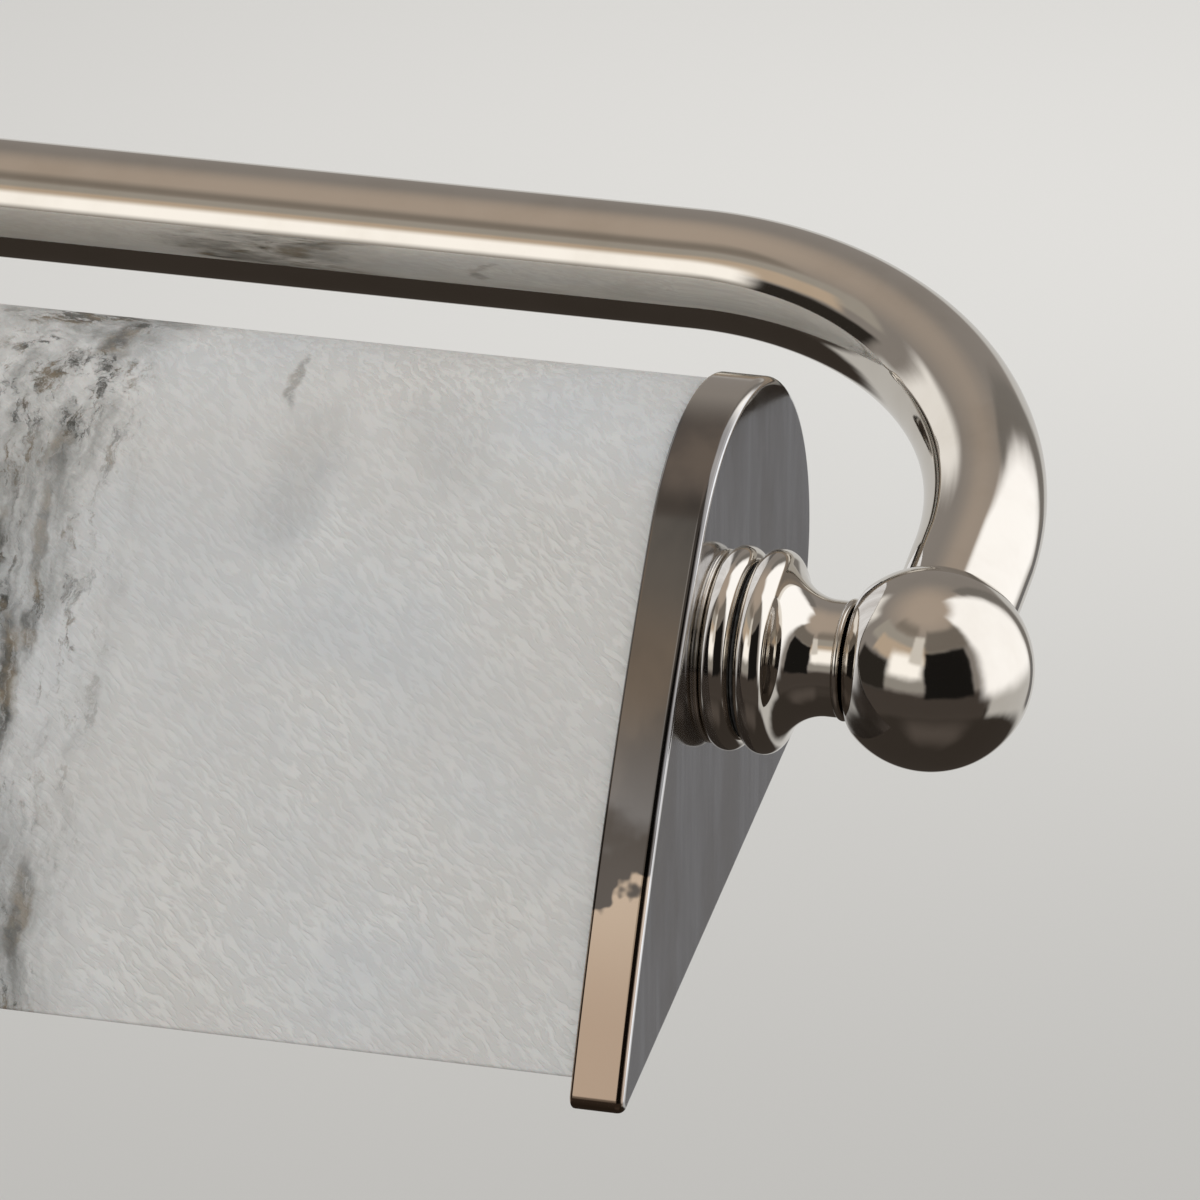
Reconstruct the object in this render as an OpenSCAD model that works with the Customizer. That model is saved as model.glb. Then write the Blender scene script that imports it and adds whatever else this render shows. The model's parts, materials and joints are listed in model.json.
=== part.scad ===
// Picture light: a stone hood between two metal end plates, hung on swivels from a bent tube yoke,
// which an arm holds off the wall. Millimetres. The origin is the centre of the wall plate's back
// face: +X runs along the hood, +Y into the wall, +Z up.

/* [Yoke and arm] */
// Outside diameter of the yoke and arm tube
tube_d = 12.7; // [12.4:0.1:13]
// Wall thickness of the yoke and arm tube
tube_wall = 1; // [0.8:0.1:1.2]
// Distance between the centres of the two ball ends
ball_span = 400; // [380:10:700]
// Distance from the pivot axis to the centre line of the yoke tube
yoke_reach = 57.5; // [57:0.5:64]
// Angle of the yoke's legs above the horizontal
yoke_angle = 21; // [10:1:30]
// Bend radius of the yoke tube's centre line
bend_r = 41; // [38:1:44]
// Distance from the wall to the centre line of the yoke tube
arm_reach = 76; // [70:1:120]

/* [Swivels] */
// Diameter of a ball end
ball_d = 21; // [20.5:0.5:22]
// Diameter of a swivel's beads
bead_d = 21.1; // [20:0.1:21.2]
// Diameter of a swivel's neck
neck_d = 12; // [11.6:0.1:12.4]
// Outside diameter of the hollow pivot nipple
nipple_d = 8; // [7.8:0.1:8.2]
// Bore of the hollow pivot nipple
nipple_bore = 5; // [4.6:0.1:5.2]
// Radial running clearance of the collar on the nipple
run_gap = 0.05; // [0.02:0.01:0.08]

/* [Hood profile] */
// Radius of the dome, at the end plate's rim
dome_r = 21.9; // [21.5:0.1:22.5]
// Distance of the dome's centre behind the pivot axis
dome_back = 11.5; // [11:0.1:12]
// Distance of the dome's centre above the pivot axis
dome_up = 2; // [1.5:0.1:2.5]
// Radius of the long, slightly bowed front
front_r = 254; // [200:2:400]
// Distance from the dome's centre to the mouth
mouth_drop = 25.8; // [25:0.1:27]
// Angle of the mouth's plane from the horizontal
mouth_angle = 16.9; // [15:0.1:18]
// Slope of the short back, from the vertical
back_slope = 14.6; // [13:0.1:16]
// Width of the mouth, from its front corner to the dome's centre, along the mouth
mouth_front = 56.6; // [55:0.1:58]

/* [Hood] */
// Thickness of an end plate
plate_t = 5.7; // [5.4:0.1:6]
// Radius of an end plate's two lower corners
corner_r = 1.4; // [1:0.1:1.6]
// Height that the plate's rim stands proud of the stone
rim_proud = 0.8; // [0.6:0.1:1.2]
// Thickness of the stone
stone_t = 5; // [4.6:0.1:5.2]
// Height of the stone's lower edges above the plate's mouth
stone_lift = 2.8; // [2:0.1:5]

/* [Lamps] */
// Diameter of a lamp's glass
lamp_d = 25; // [22:1:25]
// Length of a lamp's glass
lamp_l = 68; // [50:1:80]
// Position of the lamps' axis behind the pivot axis
lamp_back = 4; // [3.5:0.1:4.5]
// Position of the lamps' axis below the pivot axis
lamp_down = 9; // [8.5:0.1:9]
// Distance from the end plate to the lampholder's bracket
holder_inset = 28; // [27:1:40]

/* [Wall plate] */
// Diameter of the wall plate
rose_d = 90; // [88:1:110]
// Distance from the wall to the wall plate's front face
rose_h = 18; // [17.5:0.1:20]
// Distance between the two wall screw holes
screw_span = 50; // [48:1:54]
// Diameter of the wall screw holes
screw_hole_d = 4.6; // [4:0.1:5.5]

/* [Hidden] */
$fn = 72;

eps = 0.01;
fit = 0.02;
tube_r = tube_d / 2;
tube_bore = tube_r - tube_wall;
pivot_y = -arm_reach - yoke_reach * cos(yoke_angle);
pivot_z = -yoke_reach * sin(yoke_angle);

// Stations of a swivel, measured from its ball's centre towards the hood
ball_r = ball_d / 2;
neck_r = neck_d / 2;
shoulder_a0 = 40;
shoulder_a1 = 58;
shoulder_r = 3;
ball_hollow_r = 3.9;
ball_end = 8.1;
ring_start = 8.2;
ring_end = 9;
neck_bead_mid = 16.7;
neck_end = 18.45;
collar_start = 18.75;
plate_face = 22.3;
plate_back = plate_face + plate_t;
washer_start = plate_back + 0.1;
washer_end = washer_start + 1.2;
washer_r = 7.2;
washer_dish = 0.4;
nut_across = 12;
nut_end = washer_end + 4;
nipple_start = tube_r + 0.2;
nipple_end = nut_end + 2;
bead_r = bead_d / 2;
nipple_r = nipple_d / 2;
spigot_r = 6;
ring_proud = 0.3;
neck_bead_w = 1.75;
collar_bead_mid = 20.4;
collar_bead_w = 1.6;
flange_inset = 0.6;
flange_t = 0.3;
flare_r = 5;
leg_stop = 3.2;
lead_hole_r = 3;

// The hood's ends and the inner faces of the end plates
ball_x = ball_span / 2;
plate_x = ball_x - plate_back;
seat_t = 1.6;
seat_l = 3;
pad_t = 0.8;
pad_l = 4;
stone_in = rim_proud + stone_t;
blind = 3.6;
// Room for the nut and washers, cut out of the seats and the pads
nut_room_r = 9;

// The rods and the rail that tie the two end plates together, as [back, up] from the pivot axis
rod_r = 2;
rod_places = [[-20.5, -28.5], [19.5, -15]];
rail_low = 10;
rail_t = 1.2;
rail_w = 15;
flange_w = 8;
flange_h = 9;
tab_screw_y = lamp_back + 4;
rail_screw_place = [15, 4.5];
small_screw_r = 1.5;
small_head_r = 2.8;
small_head_h = 2;

// The lampholders
lamp_r = lamp_d / 2;
bracket_x = plate_x - holder_inset;
bracket_t = 1.2;
bracket_w = 16;
bracket_shoulder = [2, 2];
holder_x = bracket_x - bracket_t;
holder_l = 28;
holder_r = 12;
holder_floor = 6;
holder_collar_l = 5;
cap_r = 6.9;
cap_gap = 0.4;
cap_l = 19;
cap_tip_r = 2.8;
cap_tip_l = 2.5;
thread_pitch = 2.8;
thread_turns = 5;
thread_depth = 0.6;
contact_h = 1.2;
contact_r = 3;
holder_screw_r = 9;
holder_screw_l = 4;
tab_l = 10;
entry_hole_r = 6;

// The leads
lead_r = 1.7;
lead_bend = 5;
lead_start = ball_x - nipple_end - 1.5;
sleeve_lead_r = 2.1;
lead_drop = 11.2;
lead_drop_angle = -77;
link_entry = [6, -6];
link_rise = 17;
link_angle = 52;
link_turn = 4.5;

// The wall plate
rose_r = rose_d / 2;
rose_wall = 1.5;
rim_h = 6;
dome_base = 32;
rose_dome_r = 46;
stud_x = 38.5;
stud_r = 2;
stud_end = 10.5;
cap_nut_r = 4;
strap_t = 2;
strap_w = 16;
supply_hole_r = 5.5;
earth_x = -16;
collar_base_r = 13.5;
collar_tip_r = 8.6;
collar_h = 14;
rose_bead_r = 0.9;
rose_edge_r = 1.5;
boss_r = 13;
boss_arm_l = 19;
sleeve_r = 9;
sleeve_l = 14;
sleeve_bead_r = 1.4;
set_screw_r = 2;
arm_washer_r = 11;
arm_washer_t = 1.5;
arm_nut_across = 19;
arm_nut_h = 4.5;

// The terminal block: its ways along X, its height below the centre and its depths off the wall
block_ways = [-8, 0, 8];
block_l = 24;
block_w = 8.6;
block_low = -21.5;
block_lift = 2.2;
way_low = -17.2;
way_screw_r = 1.6;
wire_hole_r = 1.6;
wire_depth = 6.5;

// --- helpers: curves ---

function turn(a) = [cos(a), sin(a)];
function arc(c, r, a0, a1, n = 24) = [for (i = [0:n]) c + r * turn(a0 + (a1 - a0) * i / n)];
function reverse(list) = [for (i = [len(list) - 1:-1:0]) list[i]];

// --- helpers: the hood's profile, in the plane [back, up] through the pivot axis ---
// The dome runs from the short, straight back over the top into the long front, which is an arc
// of a large circle that is tangent to the dome and passes through the mouth's front corner.

dome_c = [dome_back, dome_up];
mouth_dir = turn(mouth_angle);
mouth_out = turn(mouth_angle - 90);
front_corner = dome_c - mouth_front * mouth_dir + mouth_drop * mouth_out;
corner_d = norm(front_corner - dome_c);
corner_a = atan2(front_corner.y - dome_c.y, front_corner.x - dome_c.x) + 360;
centre_d = front_r - dome_r;
tangent_a = corner_a - acos((front_r ^ 2 - corner_d ^ 2 - centre_d ^ 2) / (2 * corner_d * centre_d));
front_c = dome_c - centre_d * turn(tangent_a);

// Front and back corners of the profile, moved in by d from the rim and by e from the mouth
function front_end(d, e) =
  let (q = front_c - dome_c, h = mouth_drop - e, rise = h - q * mouth_out)
  dome_c + h * mouth_out + (q * mouth_dir - sqrt((front_r - d) ^ 2 - rise ^ 2)) * mouth_dir;
function back_end(d, e) =
  let (h = mouth_drop - e, side = turn(-back_slope))
  dome_c + h * mouth_out + (dome_r - d - h * (mouth_out * side)) / (mouth_dir * side) * mouth_dir;
function front_angle(p) = atan2(p.y - front_c.y, p.x - front_c.x) + (p.y < front_c.y ? 360 : 0);

// The rim from the back, over the dome and down the front, moved in by d, with its ends at e
function rim(d, e) = concat(
  [back_end(d, e)],
  arc(dome_c, dome_r - d, -back_slope, tangent_a, 60),
  arc(front_c, front_r - d, tangent_a, front_angle(front_end(d, e)), 12)
);

// The closed outline of an end plate, with round lower corners of radius r
function plate_outline(r) =
  let (front = front_end(r, r), back = back_end(r, r), fa = front_angle(front), ma = mouth_angle + 270)
  concat(
    arc(dome_c, dome_r, -back_slope, tangent_a, 60),
    arc(front_c, front_r, tangent_a, fa, 12),
    arc(front, r, fa, ma, 12),
    arc(back, r, ma, 360 - back_slope, 8)
  );

// A strip that follows the rim, between two depths from it
module rim_strip(d_out, d_in, e) {
  polygon(concat(rim(d_out, e), reverse(rim(d_in, e))));
}

// --- helpers: placing ---

module at_pivot() { translate([0, pivot_y, pivot_z]) children(); }

module in_yoke_plane() { at_pivot() rotate([yoke_angle, 0, 0]) children(); }

// Draws a turned piece from the right ball's centre towards the hood
module swivel() { at_pivot() translate([ball_x, 0, 0]) rotate([0, -90, 0]) children(); }

// Draws a piece from the wall's face outwards
module off_wall() { rotate([90, 0, 0]) children(); }

// Extrudes a profile drawn as [back, up] along X
module along_x(x0, x1) {
  at_pivot() translate([x0, 0, 0]) rotate([90, 0, 90]) linear_extrude(x1 - x0) children();
}

module rod_x(x0, x1, r, at = [0, 0]) {
  translate([x0, at.x, at.y]) rotate([0, 90, 0]) cylinder(h = x1 - x0, r = r);
}

module both_sides() {
  children();
  mirror([1, 0, 0]) children();
}

module turned(points) { rotate_extrude() polygon(points); }

// A round bar bent about the origin of the XY plane
module bend(r, bar_r, a0, a1) {
  rotate([0, 0, a0]) rotate_extrude(angle = a1 - a0) translate([r, 0]) circle(r = bar_r);
}

module hex(across, h) { rotate([0, 0, 30]) cylinder(h = h, d = across / cos(30), $fn = 6); }

// A pan-head screw with a cross recess: its head is above z = 0 and its shank below
module pan_screw(shank_r, shank_l, head_r, head_h) {
  difference() {
    union() {
      turned([[0, 0], [head_r, 0], [head_r, head_h * 0.5], [head_r * 0.6, head_h], [0, head_h]]);
      translate([0, 0, -shank_l]) cylinder(h = shank_l + eps, r = shank_r);
    }
    for (a = [0, 90])
      rotate([0, 0, a]) translate([-head_r * 0.55, -0.3, head_h * 0.5]) cube([head_r * 1.1, 0.6, head_h]);
  }
}

// --- yoke ---

module yoke_bar(r, foot) {
  corner_x = ball_x - bend_r;
  corner_y = yoke_reach - bend_r;
  in_yoke_plane() {
    translate([0, yoke_reach, 0]) rod_x(-corner_x, corner_x, r);
    both_sides() {
      translate([corner_x, corner_y, 0]) bend(bend_r, r, 0, 90);
      translate([ball_x, foot, 0]) rotate([-90, 0, 0]) cylinder(h = corner_y - foot, r = r);
    }
  }
}

module yoke_tube() {
  color("#b3a799") difference() {
    yoke_bar(tube_r, leg_stop);
    yoke_bar(tube_bore, leg_stop - 1);
    translate([0, -arm_reach, 0]) rotate([-90, 0, 0]) cylinder(h = tube_d, r = lead_hole_r);
  }
}

// Ball end of the yoke: drawn in to the neck, and hollow where leg, nipple and lead meet
module yoke_ball() {
  mouth_r = nipple_r + fit;
  bore_r = nipple_bore / 2;
  hollow_a = acos(bore_r / ball_hollow_r);
  shoulder_c = (ball_r - shoulder_r) * turn(shoulder_a0);
  color("#b3a799") difference() {
    swivel() turned(concat(
      arc([0, 0], ball_r, -90, shoulder_a0, 26),
      arc(shoulder_c, shoulder_r, shoulder_a0, shoulder_a1, 6),
      [[neck_r - ring_proud, ball_end], [mouth_r, ball_end]],
      [[mouth_r, nipple_start], [bore_r, nipple_start]],
      arc([0, 0], ball_hollow_r, hollow_a, -90, 16)
    ));
    in_yoke_plane() translate([ball_x, leg_stop - 0.1, 0]) rotate([-90, 0, 0])
      cylinder(h = ball_d, r = tube_r + fit);
    in_yoke_plane() translate([ball_x, 0, 0]) rotate([-90, 0, 0])
      cylinder(h = leg_stop, r = bore_r);
  }
}

module yoke_ball_right() { yoke_ball(); }
module yoke_ball_left() { mirror([1, 0, 0]) yoke_ball(); }

// Neck with a fine ring at the ball and a trumpet that runs into a round bead at the hood
module swivel_neck() {
  ring_w = (ring_end - ring_start) / 2;
  bead_c = [bead_r - neck_bead_w, neck_bead_mid];
  // The trumpet's arc touches both the neck and the bead's arc
  reach = flare_r + neck_bead_w;
  flare_a = acos((neck_r + flare_r - bead_c.x) / reach);
  flare_c = [neck_r + flare_r, bead_c.y - reach * sin(flare_a)];
  color("#b3a799") swivel() turned(concat(
    [[nipple_r + fit, ring_start], [neck_r - ring_proud, ring_start]],
    arc([neck_r + ring_proud - ring_w, ring_start + ring_w], ring_w, -80, 80, 10),
    [[neck_r, ring_end]],
    arc(flare_c, flare_r, 180, 180 - flare_a, 16),
    arc(bead_c, neck_bead_w, -flare_a, 90, 20),
    [[nipple_r + fit, neck_end]]
  ));
}

module swivel_neck_right() { swivel_neck(); }
module swivel_neck_left() { mirror([1, 0, 0]) swivel_neck(); }

// Hollow threaded tube that carries the hood and lets the lead through
module pivot_nipple() {
  color("#c8a24a") swivel() translate([0, 0, nipple_start]) difference() {
    cylinder(h = nipple_end - nipple_start, r = nipple_r);
    translate([0, 0, -1]) cylinder(h = nipple_end, r = nipple_bore / 2);
  }
}

module pivot_nipple_right() { pivot_nipple(); }
module pivot_nipple_left() { mirror([1, 0, 0]) pivot_nipple(); }

module washer(z0, z1, r, bore) {
  translate([0, 0, z0]) difference() {
    cylinder(h = z1 - z0, r = r);
    translate([0, 0, -1]) cylinder(h = z1 - z0 + 2, r = bore);
  }
}

module friction_washers() {
  color("#3a3a38") both_sides() swivel()
    washer(neck_end, collar_start - 0.05, bead_r - 1.4, nipple_r + fit);
}

// Dished spring washer: its rim presses on the end plate and its centre on the nut
module spring_washers() {
  bore = nipple_r + run_gap;
  color("#8d8f92") both_sides() swivel() turned([
    [bore, washer_start + washer_dish], [washer_r, washer_start],
    [washer_r, washer_end - washer_dish], [bore, washer_end]
  ]);
}

module pivot_nuts() {
  color("#c8a24a") both_sides() swivel() translate([0, 0, washer_end]) difference() {
    hex(nut_across, nut_end - washer_end);
    translate([0, 0, -1]) cylinder(h = nut_end - washer_end + 2, r = nipple_r + fit);
  }
}

// --- hood ---

module pivot_collar() {
  flange_r = bead_r - flange_inset;
  color("#b3a799") swivel() turned(concat(
    [[nipple_r + run_gap, collar_start], [bead_r - collar_bead_w, collar_start]],
    arc([bead_r - collar_bead_w, collar_bead_mid], collar_bead_w, -80, 70, 14),
    [[flange_r - flange_t, plate_face - flange_t], [flange_r, plate_face - flange_t / 2]],
    [[flange_r, plate_face]],
    [[spigot_r, plate_face], [spigot_r, plate_back - 0.1], [nipple_r + run_gap, plate_back - 0.1]]
  ));
}

module pivot_collar_right() { pivot_collar(); }
module pivot_collar_left() { mirror([1, 0, 0]) pivot_collar(); }

// End plate with a seat for the stone, a through hole for the swivel and blind holes for fixings
module end_plate() {
  color("#a89c90") difference() {
    union() {
      along_x(plate_x, plate_x + plate_t) polygon(plate_outline(corner_r));
      along_x(plate_x - seat_l, plate_x + eps) difference() {
        rim_strip(stone_in + pad_t, stone_in + pad_t + seat_t, stone_lift + 1);
        circle(r = nut_room_r);
      }
    }
    at_pivot() rod_x(plate_x - 1, ball_x, spigot_r);
    for (place = rod_places)
      at_pivot() rod_x(plate_x - seat_l - 1, plate_x + blind, rod_r + fit, place);
    at_pivot() rod_x(plate_x - 1, plate_x + blind, small_screw_r + fit, rail_screw_place);
  }
}

module end_plate_right() { end_plate(); }
module end_plate_left() { mirror([1, 0, 0]) end_plate(); }

module stone_hood() {
  color("#d9d7d2") along_x(-plate_x, plate_x) rim_strip(rim_proud, stone_in, stone_lift);
}

module stone_pads() {
  color("#2c2c2c") both_sides() along_x(plate_x - pad_l, plate_x) difference() {
    rim_strip(stone_in + fit, stone_in + pad_t, stone_lift + 1);
    circle(r = nut_room_r);
  }
}

module tie_rods() {
  color("#c8a24a") for (place = rod_places)
    at_pivot() rod_x(-plate_x - blind + 0.1, plate_x + blind - 0.1, rod_r, place);
}

// Folded steel strip: it carries the two lampholder brackets under the dome
module lamp_rail() {
  color("#e4e2da") at_pivot() difference() {
    union() {
      translate([-plate_x, dome_back - rail_w / 2, rail_low]) cube([2 * plate_x, rail_w, rail_t]);
      both_sides() translate([plate_x - rail_t, dome_back - 0.5, rail_low - flange_h])
        cube([rail_t, flange_w, flange_h + eps]);
    }
    both_sides() {
      rod_x(plate_x - 3, plate_x + 1, small_screw_r + 0.1, rail_screw_place);
      translate([bracket_x + tab_l / 2, tab_screw_y, 0]) cylinder(h = 20, r = small_screw_r + fit);
    }
  }
}

module rail_screws() {
  color("#9a9da0") at_pivot() both_sides() {
    translate([plate_x - rail_t, rail_screw_place.x, rail_screw_place.y]) rotate([0, -90, 0])
      pan_screw(small_screw_r, rail_t + blind - 0.1, small_head_r, small_head_h);
    translate([bracket_x + tab_l / 2, tab_screw_y, rail_low + rail_t])
      pan_screw(small_screw_r, rail_t + bracket_t + 0.8, small_head_r, small_head_h);
  }
}

// --- lamps ---

// Upright plate with its front shoulder cut to clear the stone, and a tab under the rail
module holder_bracket() {
  low = -lamp_down - entry_hole_r - 6.5;
  front = lamp_back - bracket_w / 2;
  back = lamp_back + bracket_w / 2;
  color("#e4e2da") difference() {
    union() {
      along_x(holder_x, bracket_x) polygon([
        [front, low], [back, low], [back, rail_low], [bracket_shoulder.x, rail_low],
        [front, bracket_shoulder.y]
      ]);
      at_pivot() translate([holder_x, bracket_shoulder.x, rail_low - bracket_t])
        cube([bracket_t + tab_l, back - bracket_shoulder.x, bracket_t]);
    }
    holder_bracket_holes();
  }
}

module holder_bracket_holes() {
  at_pivot() {
    rod_x(holder_x - 1, bracket_x + 1, entry_hole_r, [lamp_back, -lamp_down]);
    for (side = [-1, 1])
      rod_x(holder_x - 1, bracket_x + 1, small_screw_r + fit,
        [lamp_back, -lamp_down + side * holder_screw_r]);
    translate([bracket_x + tab_l / 2, tab_screw_y, 0]) cylinder(h = 20, r = small_screw_r + fit);
  }
}

module holder_bracket_right() { holder_bracket(); }
module holder_bracket_left() { mirror([1, 0, 0]) holder_bracket(); }

module holder_screws() {
  color("#9a9da0") at_pivot() both_sides() for (side = [-1, 1])
    translate([bracket_x, lamp_back, -lamp_down + side * holder_screw_r]) rotate([0, 90, 0])
      pan_screw(small_screw_r, bracket_t + holder_screw_l, small_head_r, small_head_h);
}

// Draws a lamp piece from the lampholder's base towards the middle of the hood
module lamp_frame() {
  at_pivot() translate([holder_x, lamp_back, -lamp_down]) rotate([0, -90, 0]) children();
}

module lampholder() {
  color("#e9e6dd") difference() {
    lamp_frame() turned([
      [0, 0], [holder_r, 0], [holder_r, holder_l - holder_collar_l],
      [holder_r - 1, holder_l - holder_collar_l + 0.5], [holder_r - 1, holder_l],
      [cap_r + cap_gap, holder_l], [cap_r + cap_gap, holder_floor],
      [0, holder_floor]
    ]);
    at_pivot() for (side = [-1, 1])
      rod_x(holder_x - holder_screw_l - 0.2, holder_x + 1, small_screw_r + fit,
        [lamp_back, -lamp_down + side * holder_screw_r]);
  }
}

module lampholder_right() { lampholder(); }
module lampholder_left() { mirror([1, 0, 0]) lampholder(); }

module holder_contacts() {
  color("#c8a24a") both_sides() lamp_frame() translate([0, 0, holder_floor])
    cylinder(h = contact_h, r = contact_r);
}

// Screw cap: a rounded thread over a barrel, with an insulated tip contact
module lamp_cap() {
  start = holder_floor + contact_h + 0.1;
  barrel_start = start + cap_tip_l;
  root_r = cap_r - thread_depth;
  color("#c9c6bf") lamp_frame() turned(concat(
    [[0, start], [cap_tip_r - thread_depth, start], [cap_tip_r, start + 1], [root_r - 1, barrel_start]],
    [for (i = [0:thread_turns - 1]) each [
      [root_r, barrel_start + i * thread_pitch + 0.2],
      [cap_r, barrel_start + (i + 0.5) * thread_pitch],
      [root_r, barrel_start + (i + 1) * thread_pitch - 0.2]
    ]],
    [[root_r, start + cap_l], [0, start + cap_l]]
  ));
}

module lamp_cap_right() { lamp_cap(); }
module lamp_cap_left() { mirror([1, 0, 0]) lamp_cap(); }

glass_start = holder_floor + contact_h + 0.1 + cap_l;
glass_t = 0.8;
shoulder_l = 9;
glass_end = glass_start + lamp_l;

// Half outline of the bulb's wall, from its neck over the tube to its round end
function bulb(inset) =
  let (r = lamp_r - inset, neck = cap_r - thread_depth - inset)
  concat(
    [[neck, glass_start]],
    [for (i = [1:12]) [neck + (r - neck) * (1 - cos(i * 15)) / 2, glass_start + i * shoulder_l / 12]],
    arc([0, glass_end - lamp_r], r, 0, 90, 16)
  );

module lamp_glass() {
  color("#f2efe6", 0.5) lamp_frame() turned(concat(bulb(0), reverse(bulb(glass_t))));
}

module lamp_glass_right() { lamp_glass(); }
module lamp_glass_left() { mirror([1, 0, 0]) lamp_glass(); }

// Glass stem with four slim light strips held around it
module lamp_filament() {
  stem_l = 14;
  strip_r = 0.9;
  strip_l = lamp_l - 30;
  strip_ring_r = 5;
  hook_r = 0.4;
  color("#f3c969") lamp_frame() translate([0, 0, glass_start]) {
    cylinder(h = stem_l, r1 = 3.5, r2 = 2);
    translate([0, 0, stem_l - 1]) cylinder(h = strip_l + 4, r = 0.8);
    for (a = [0:90:270]) rotate([0, 0, a]) {
      translate([strip_ring_r, 0, stem_l]) cylinder(h = strip_l, r = strip_r);
      for (z = [stem_l + 0.5, stem_l + strip_l - 0.5])
        translate([0, 0, z]) rotate([0, 90, 0]) cylinder(h = strip_ring_r, r = hook_r);
    }
  }
}

module lamp_filament_right() { lamp_filament(); }
module lamp_filament_left() { mirror([1, 0, 0]) lamp_filament(); }

// --- leads ---

// From the terminal block through the arm, the yoke and the right-hand swivel
module yoke_lead() {
  terminal_top = block_low + block_w;
  corner_x = ball_x - bend_r;
  corner_y = yoke_reach - bend_r;
  color("#5a4632") {
    off_wall() translate([0, 0, wire_depth]) rotate([0, 90, 0]) {
      translate([0, terminal_top, 0]) rotate([-90, 0, 0])
        cylinder(h = -terminal_top - lead_bend, r = lead_r);
      translate([-lead_bend, -lead_bend, 0]) bend(lead_bend, lead_r, 0, 90);
    }
    translate([0, -arm_reach + lead_bend, 0]) rotate([-90, 0, 0])
      cylinder(h = arm_reach - 2 * lead_bend - wire_depth, r = lead_r);
    translate([lead_bend, -arm_reach + lead_bend, 0]) bend(lead_bend, lead_r, 180, 270);
    in_yoke_plane() {
      translate([0, yoke_reach, 0]) rod_x(lead_bend, corner_x, lead_r);
      translate([0, yoke_reach, 0]) rod_x(lead_bend - 0.5, lead_bend + 8, sleeve_lead_r);
      translate([corner_x, corner_y, 0]) bend(bend_r, lead_r, 0, 90);
      translate([ball_x, lead_bend, 0]) rotate([-90, 0, 0])
        cylinder(h = corner_y - lead_bend, r = lead_r);
      translate([ball_x - lead_bend, lead_bend, 0]) bend(lead_bend, lead_r, -90, 0);
      rod_x(lead_start, ball_x - lead_bend, lead_r);
    }
  }
}

// From the swivel's axis to the right-hand lampholder, in two quarter turns
module shade_lead() {
  r = lead_drop / 2;
  bend_x = lead_start - 5;
  color("#5a4632") at_pivot() rotate([lead_drop_angle, 0, 0]) {
    rod_x(bend_x, lead_start, lead_r);
    translate([bend_x, r, 0]) bend(r, lead_r, 180, 270);
    translate([bend_x - lead_drop, r, 0]) bend(r, lead_r, 0, 90);
    translate([0, lead_drop, 0]) rod_x(bracket_x, bend_x - lead_drop, lead_r);
  }
}

// Between the two lampholders, under the rail
module link_lead() {
  turn_x = bracket_x + 6;
  color("#5a4632") at_pivot() translate([0, link_entry.x, link_entry.y])
    rotate([link_angle, 0, 0]) {
      translate([0, link_rise, 0]) rod_x(-turn_x, turn_x, lead_r);
      both_sides() {
        translate([turn_x, link_rise - link_turn, 0]) bend(link_turn, lead_r, 0, 90);
        translate([turn_x + link_turn, link_turn, 0]) rotate([-90, 0, 0])
          cylinder(h = link_rise - 2 * link_turn, r = lead_r);
        translate([turn_x, link_turn, 0]) bend(link_turn, lead_r, -90, 0);
        rod_x(bracket_x, turn_x, lead_r);
      }
    }
}

// --- arm and wall plate ---

module t_boss() {
  bore = tube_r + fit;
  color("#b3a799") translate([0, -arm_reach, 0]) difference() {
    union() {
      sphere(r = boss_r);
      both_sides() rotate([0, 90, 0]) turned(concat(
        [[0, 0], [sleeve_r, 0], [sleeve_r, sleeve_l - sleeve_bead_r]],
        arc([sleeve_r - 0.6, sleeve_l], sleeve_bead_r, -60, 60, 10),
        [[0, sleeve_l + 1.2]]
      ));
      rotate([-90, 0, 0]) turned(concat(
        [[0, 0], [sleeve_r, 0], [sleeve_r, boss_arm_l - sleeve_bead_r]],
        arc([sleeve_r - 0.6, boss_arm_l], sleeve_bead_r, -60, 60, 10),
        [[0, boss_arm_l + 1.2]]
      ));
    }
    rod_x(-boss_arm_l, boss_arm_l, bore);
    rotate([-90, 0, 0]) cylinder(h = tube_d, r = lead_hole_r + 0.5);
    translate([0, tube_r + 0.8, 0]) rotate([-90, 0, 0]) cylinder(h = 2 * boss_arm_l, r = bore);
    translate([0, 0, -boss_r - 1]) cylinder(h = boss_r, r = set_screw_r + fit);
  }
}

module boss_set_screw() {
  color("#5c5e60") translate([0, -arm_reach, -boss_r]) difference() {
    cylinder(h = boss_r - tube_r - 0.05, r = set_screw_r);
    translate([0, 0, -1]) hex(set_screw_r, 3.5);
  }
}

module arm_tube() {
  far = arm_reach - tube_r - 1;
  near = 9.5;
  color("#b3a799") off_wall() translate([0, 0, near]) difference() {
    cylinder(h = far - near, r = tube_r);
    translate([0, 0, -1]) cylinder(h = far, r = tube_bore);
  }
}

// Turned foot of the arm, with the same trumpet shape as the swivels' necks
module arm_collar() {
  rise = collar_h - 3;
  top = rose_h + collar_h;
  width = collar_base_r - 1 - collar_tip_r;
  color("#b3a799") off_wall() turned(concat(
    [[tube_r + fit, rose_h], [collar_base_r - 1, rose_h]],
    arc([collar_base_r - 1, rose_h + 1], 1, -90, 90, 10),
    [for (a = [15:15:90]) [
      collar_tip_r + width * (1 - sin(a)), rose_h + 2 + (rise - 2) * (1 - cos(a))
    ]],
    arc([collar_tip_r - 0.4, top - sleeve_bead_r], sleeve_bead_r, -70, 70, 10),
    [[tube_r + fit, top]]
  ));
}

module arm_washer() {
  start = rose_h - rose_wall - arm_washer_t;
  color("#9a9da0") off_wall() washer(start, start + arm_washer_t, arm_washer_r, tube_r + fit);
}

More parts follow.
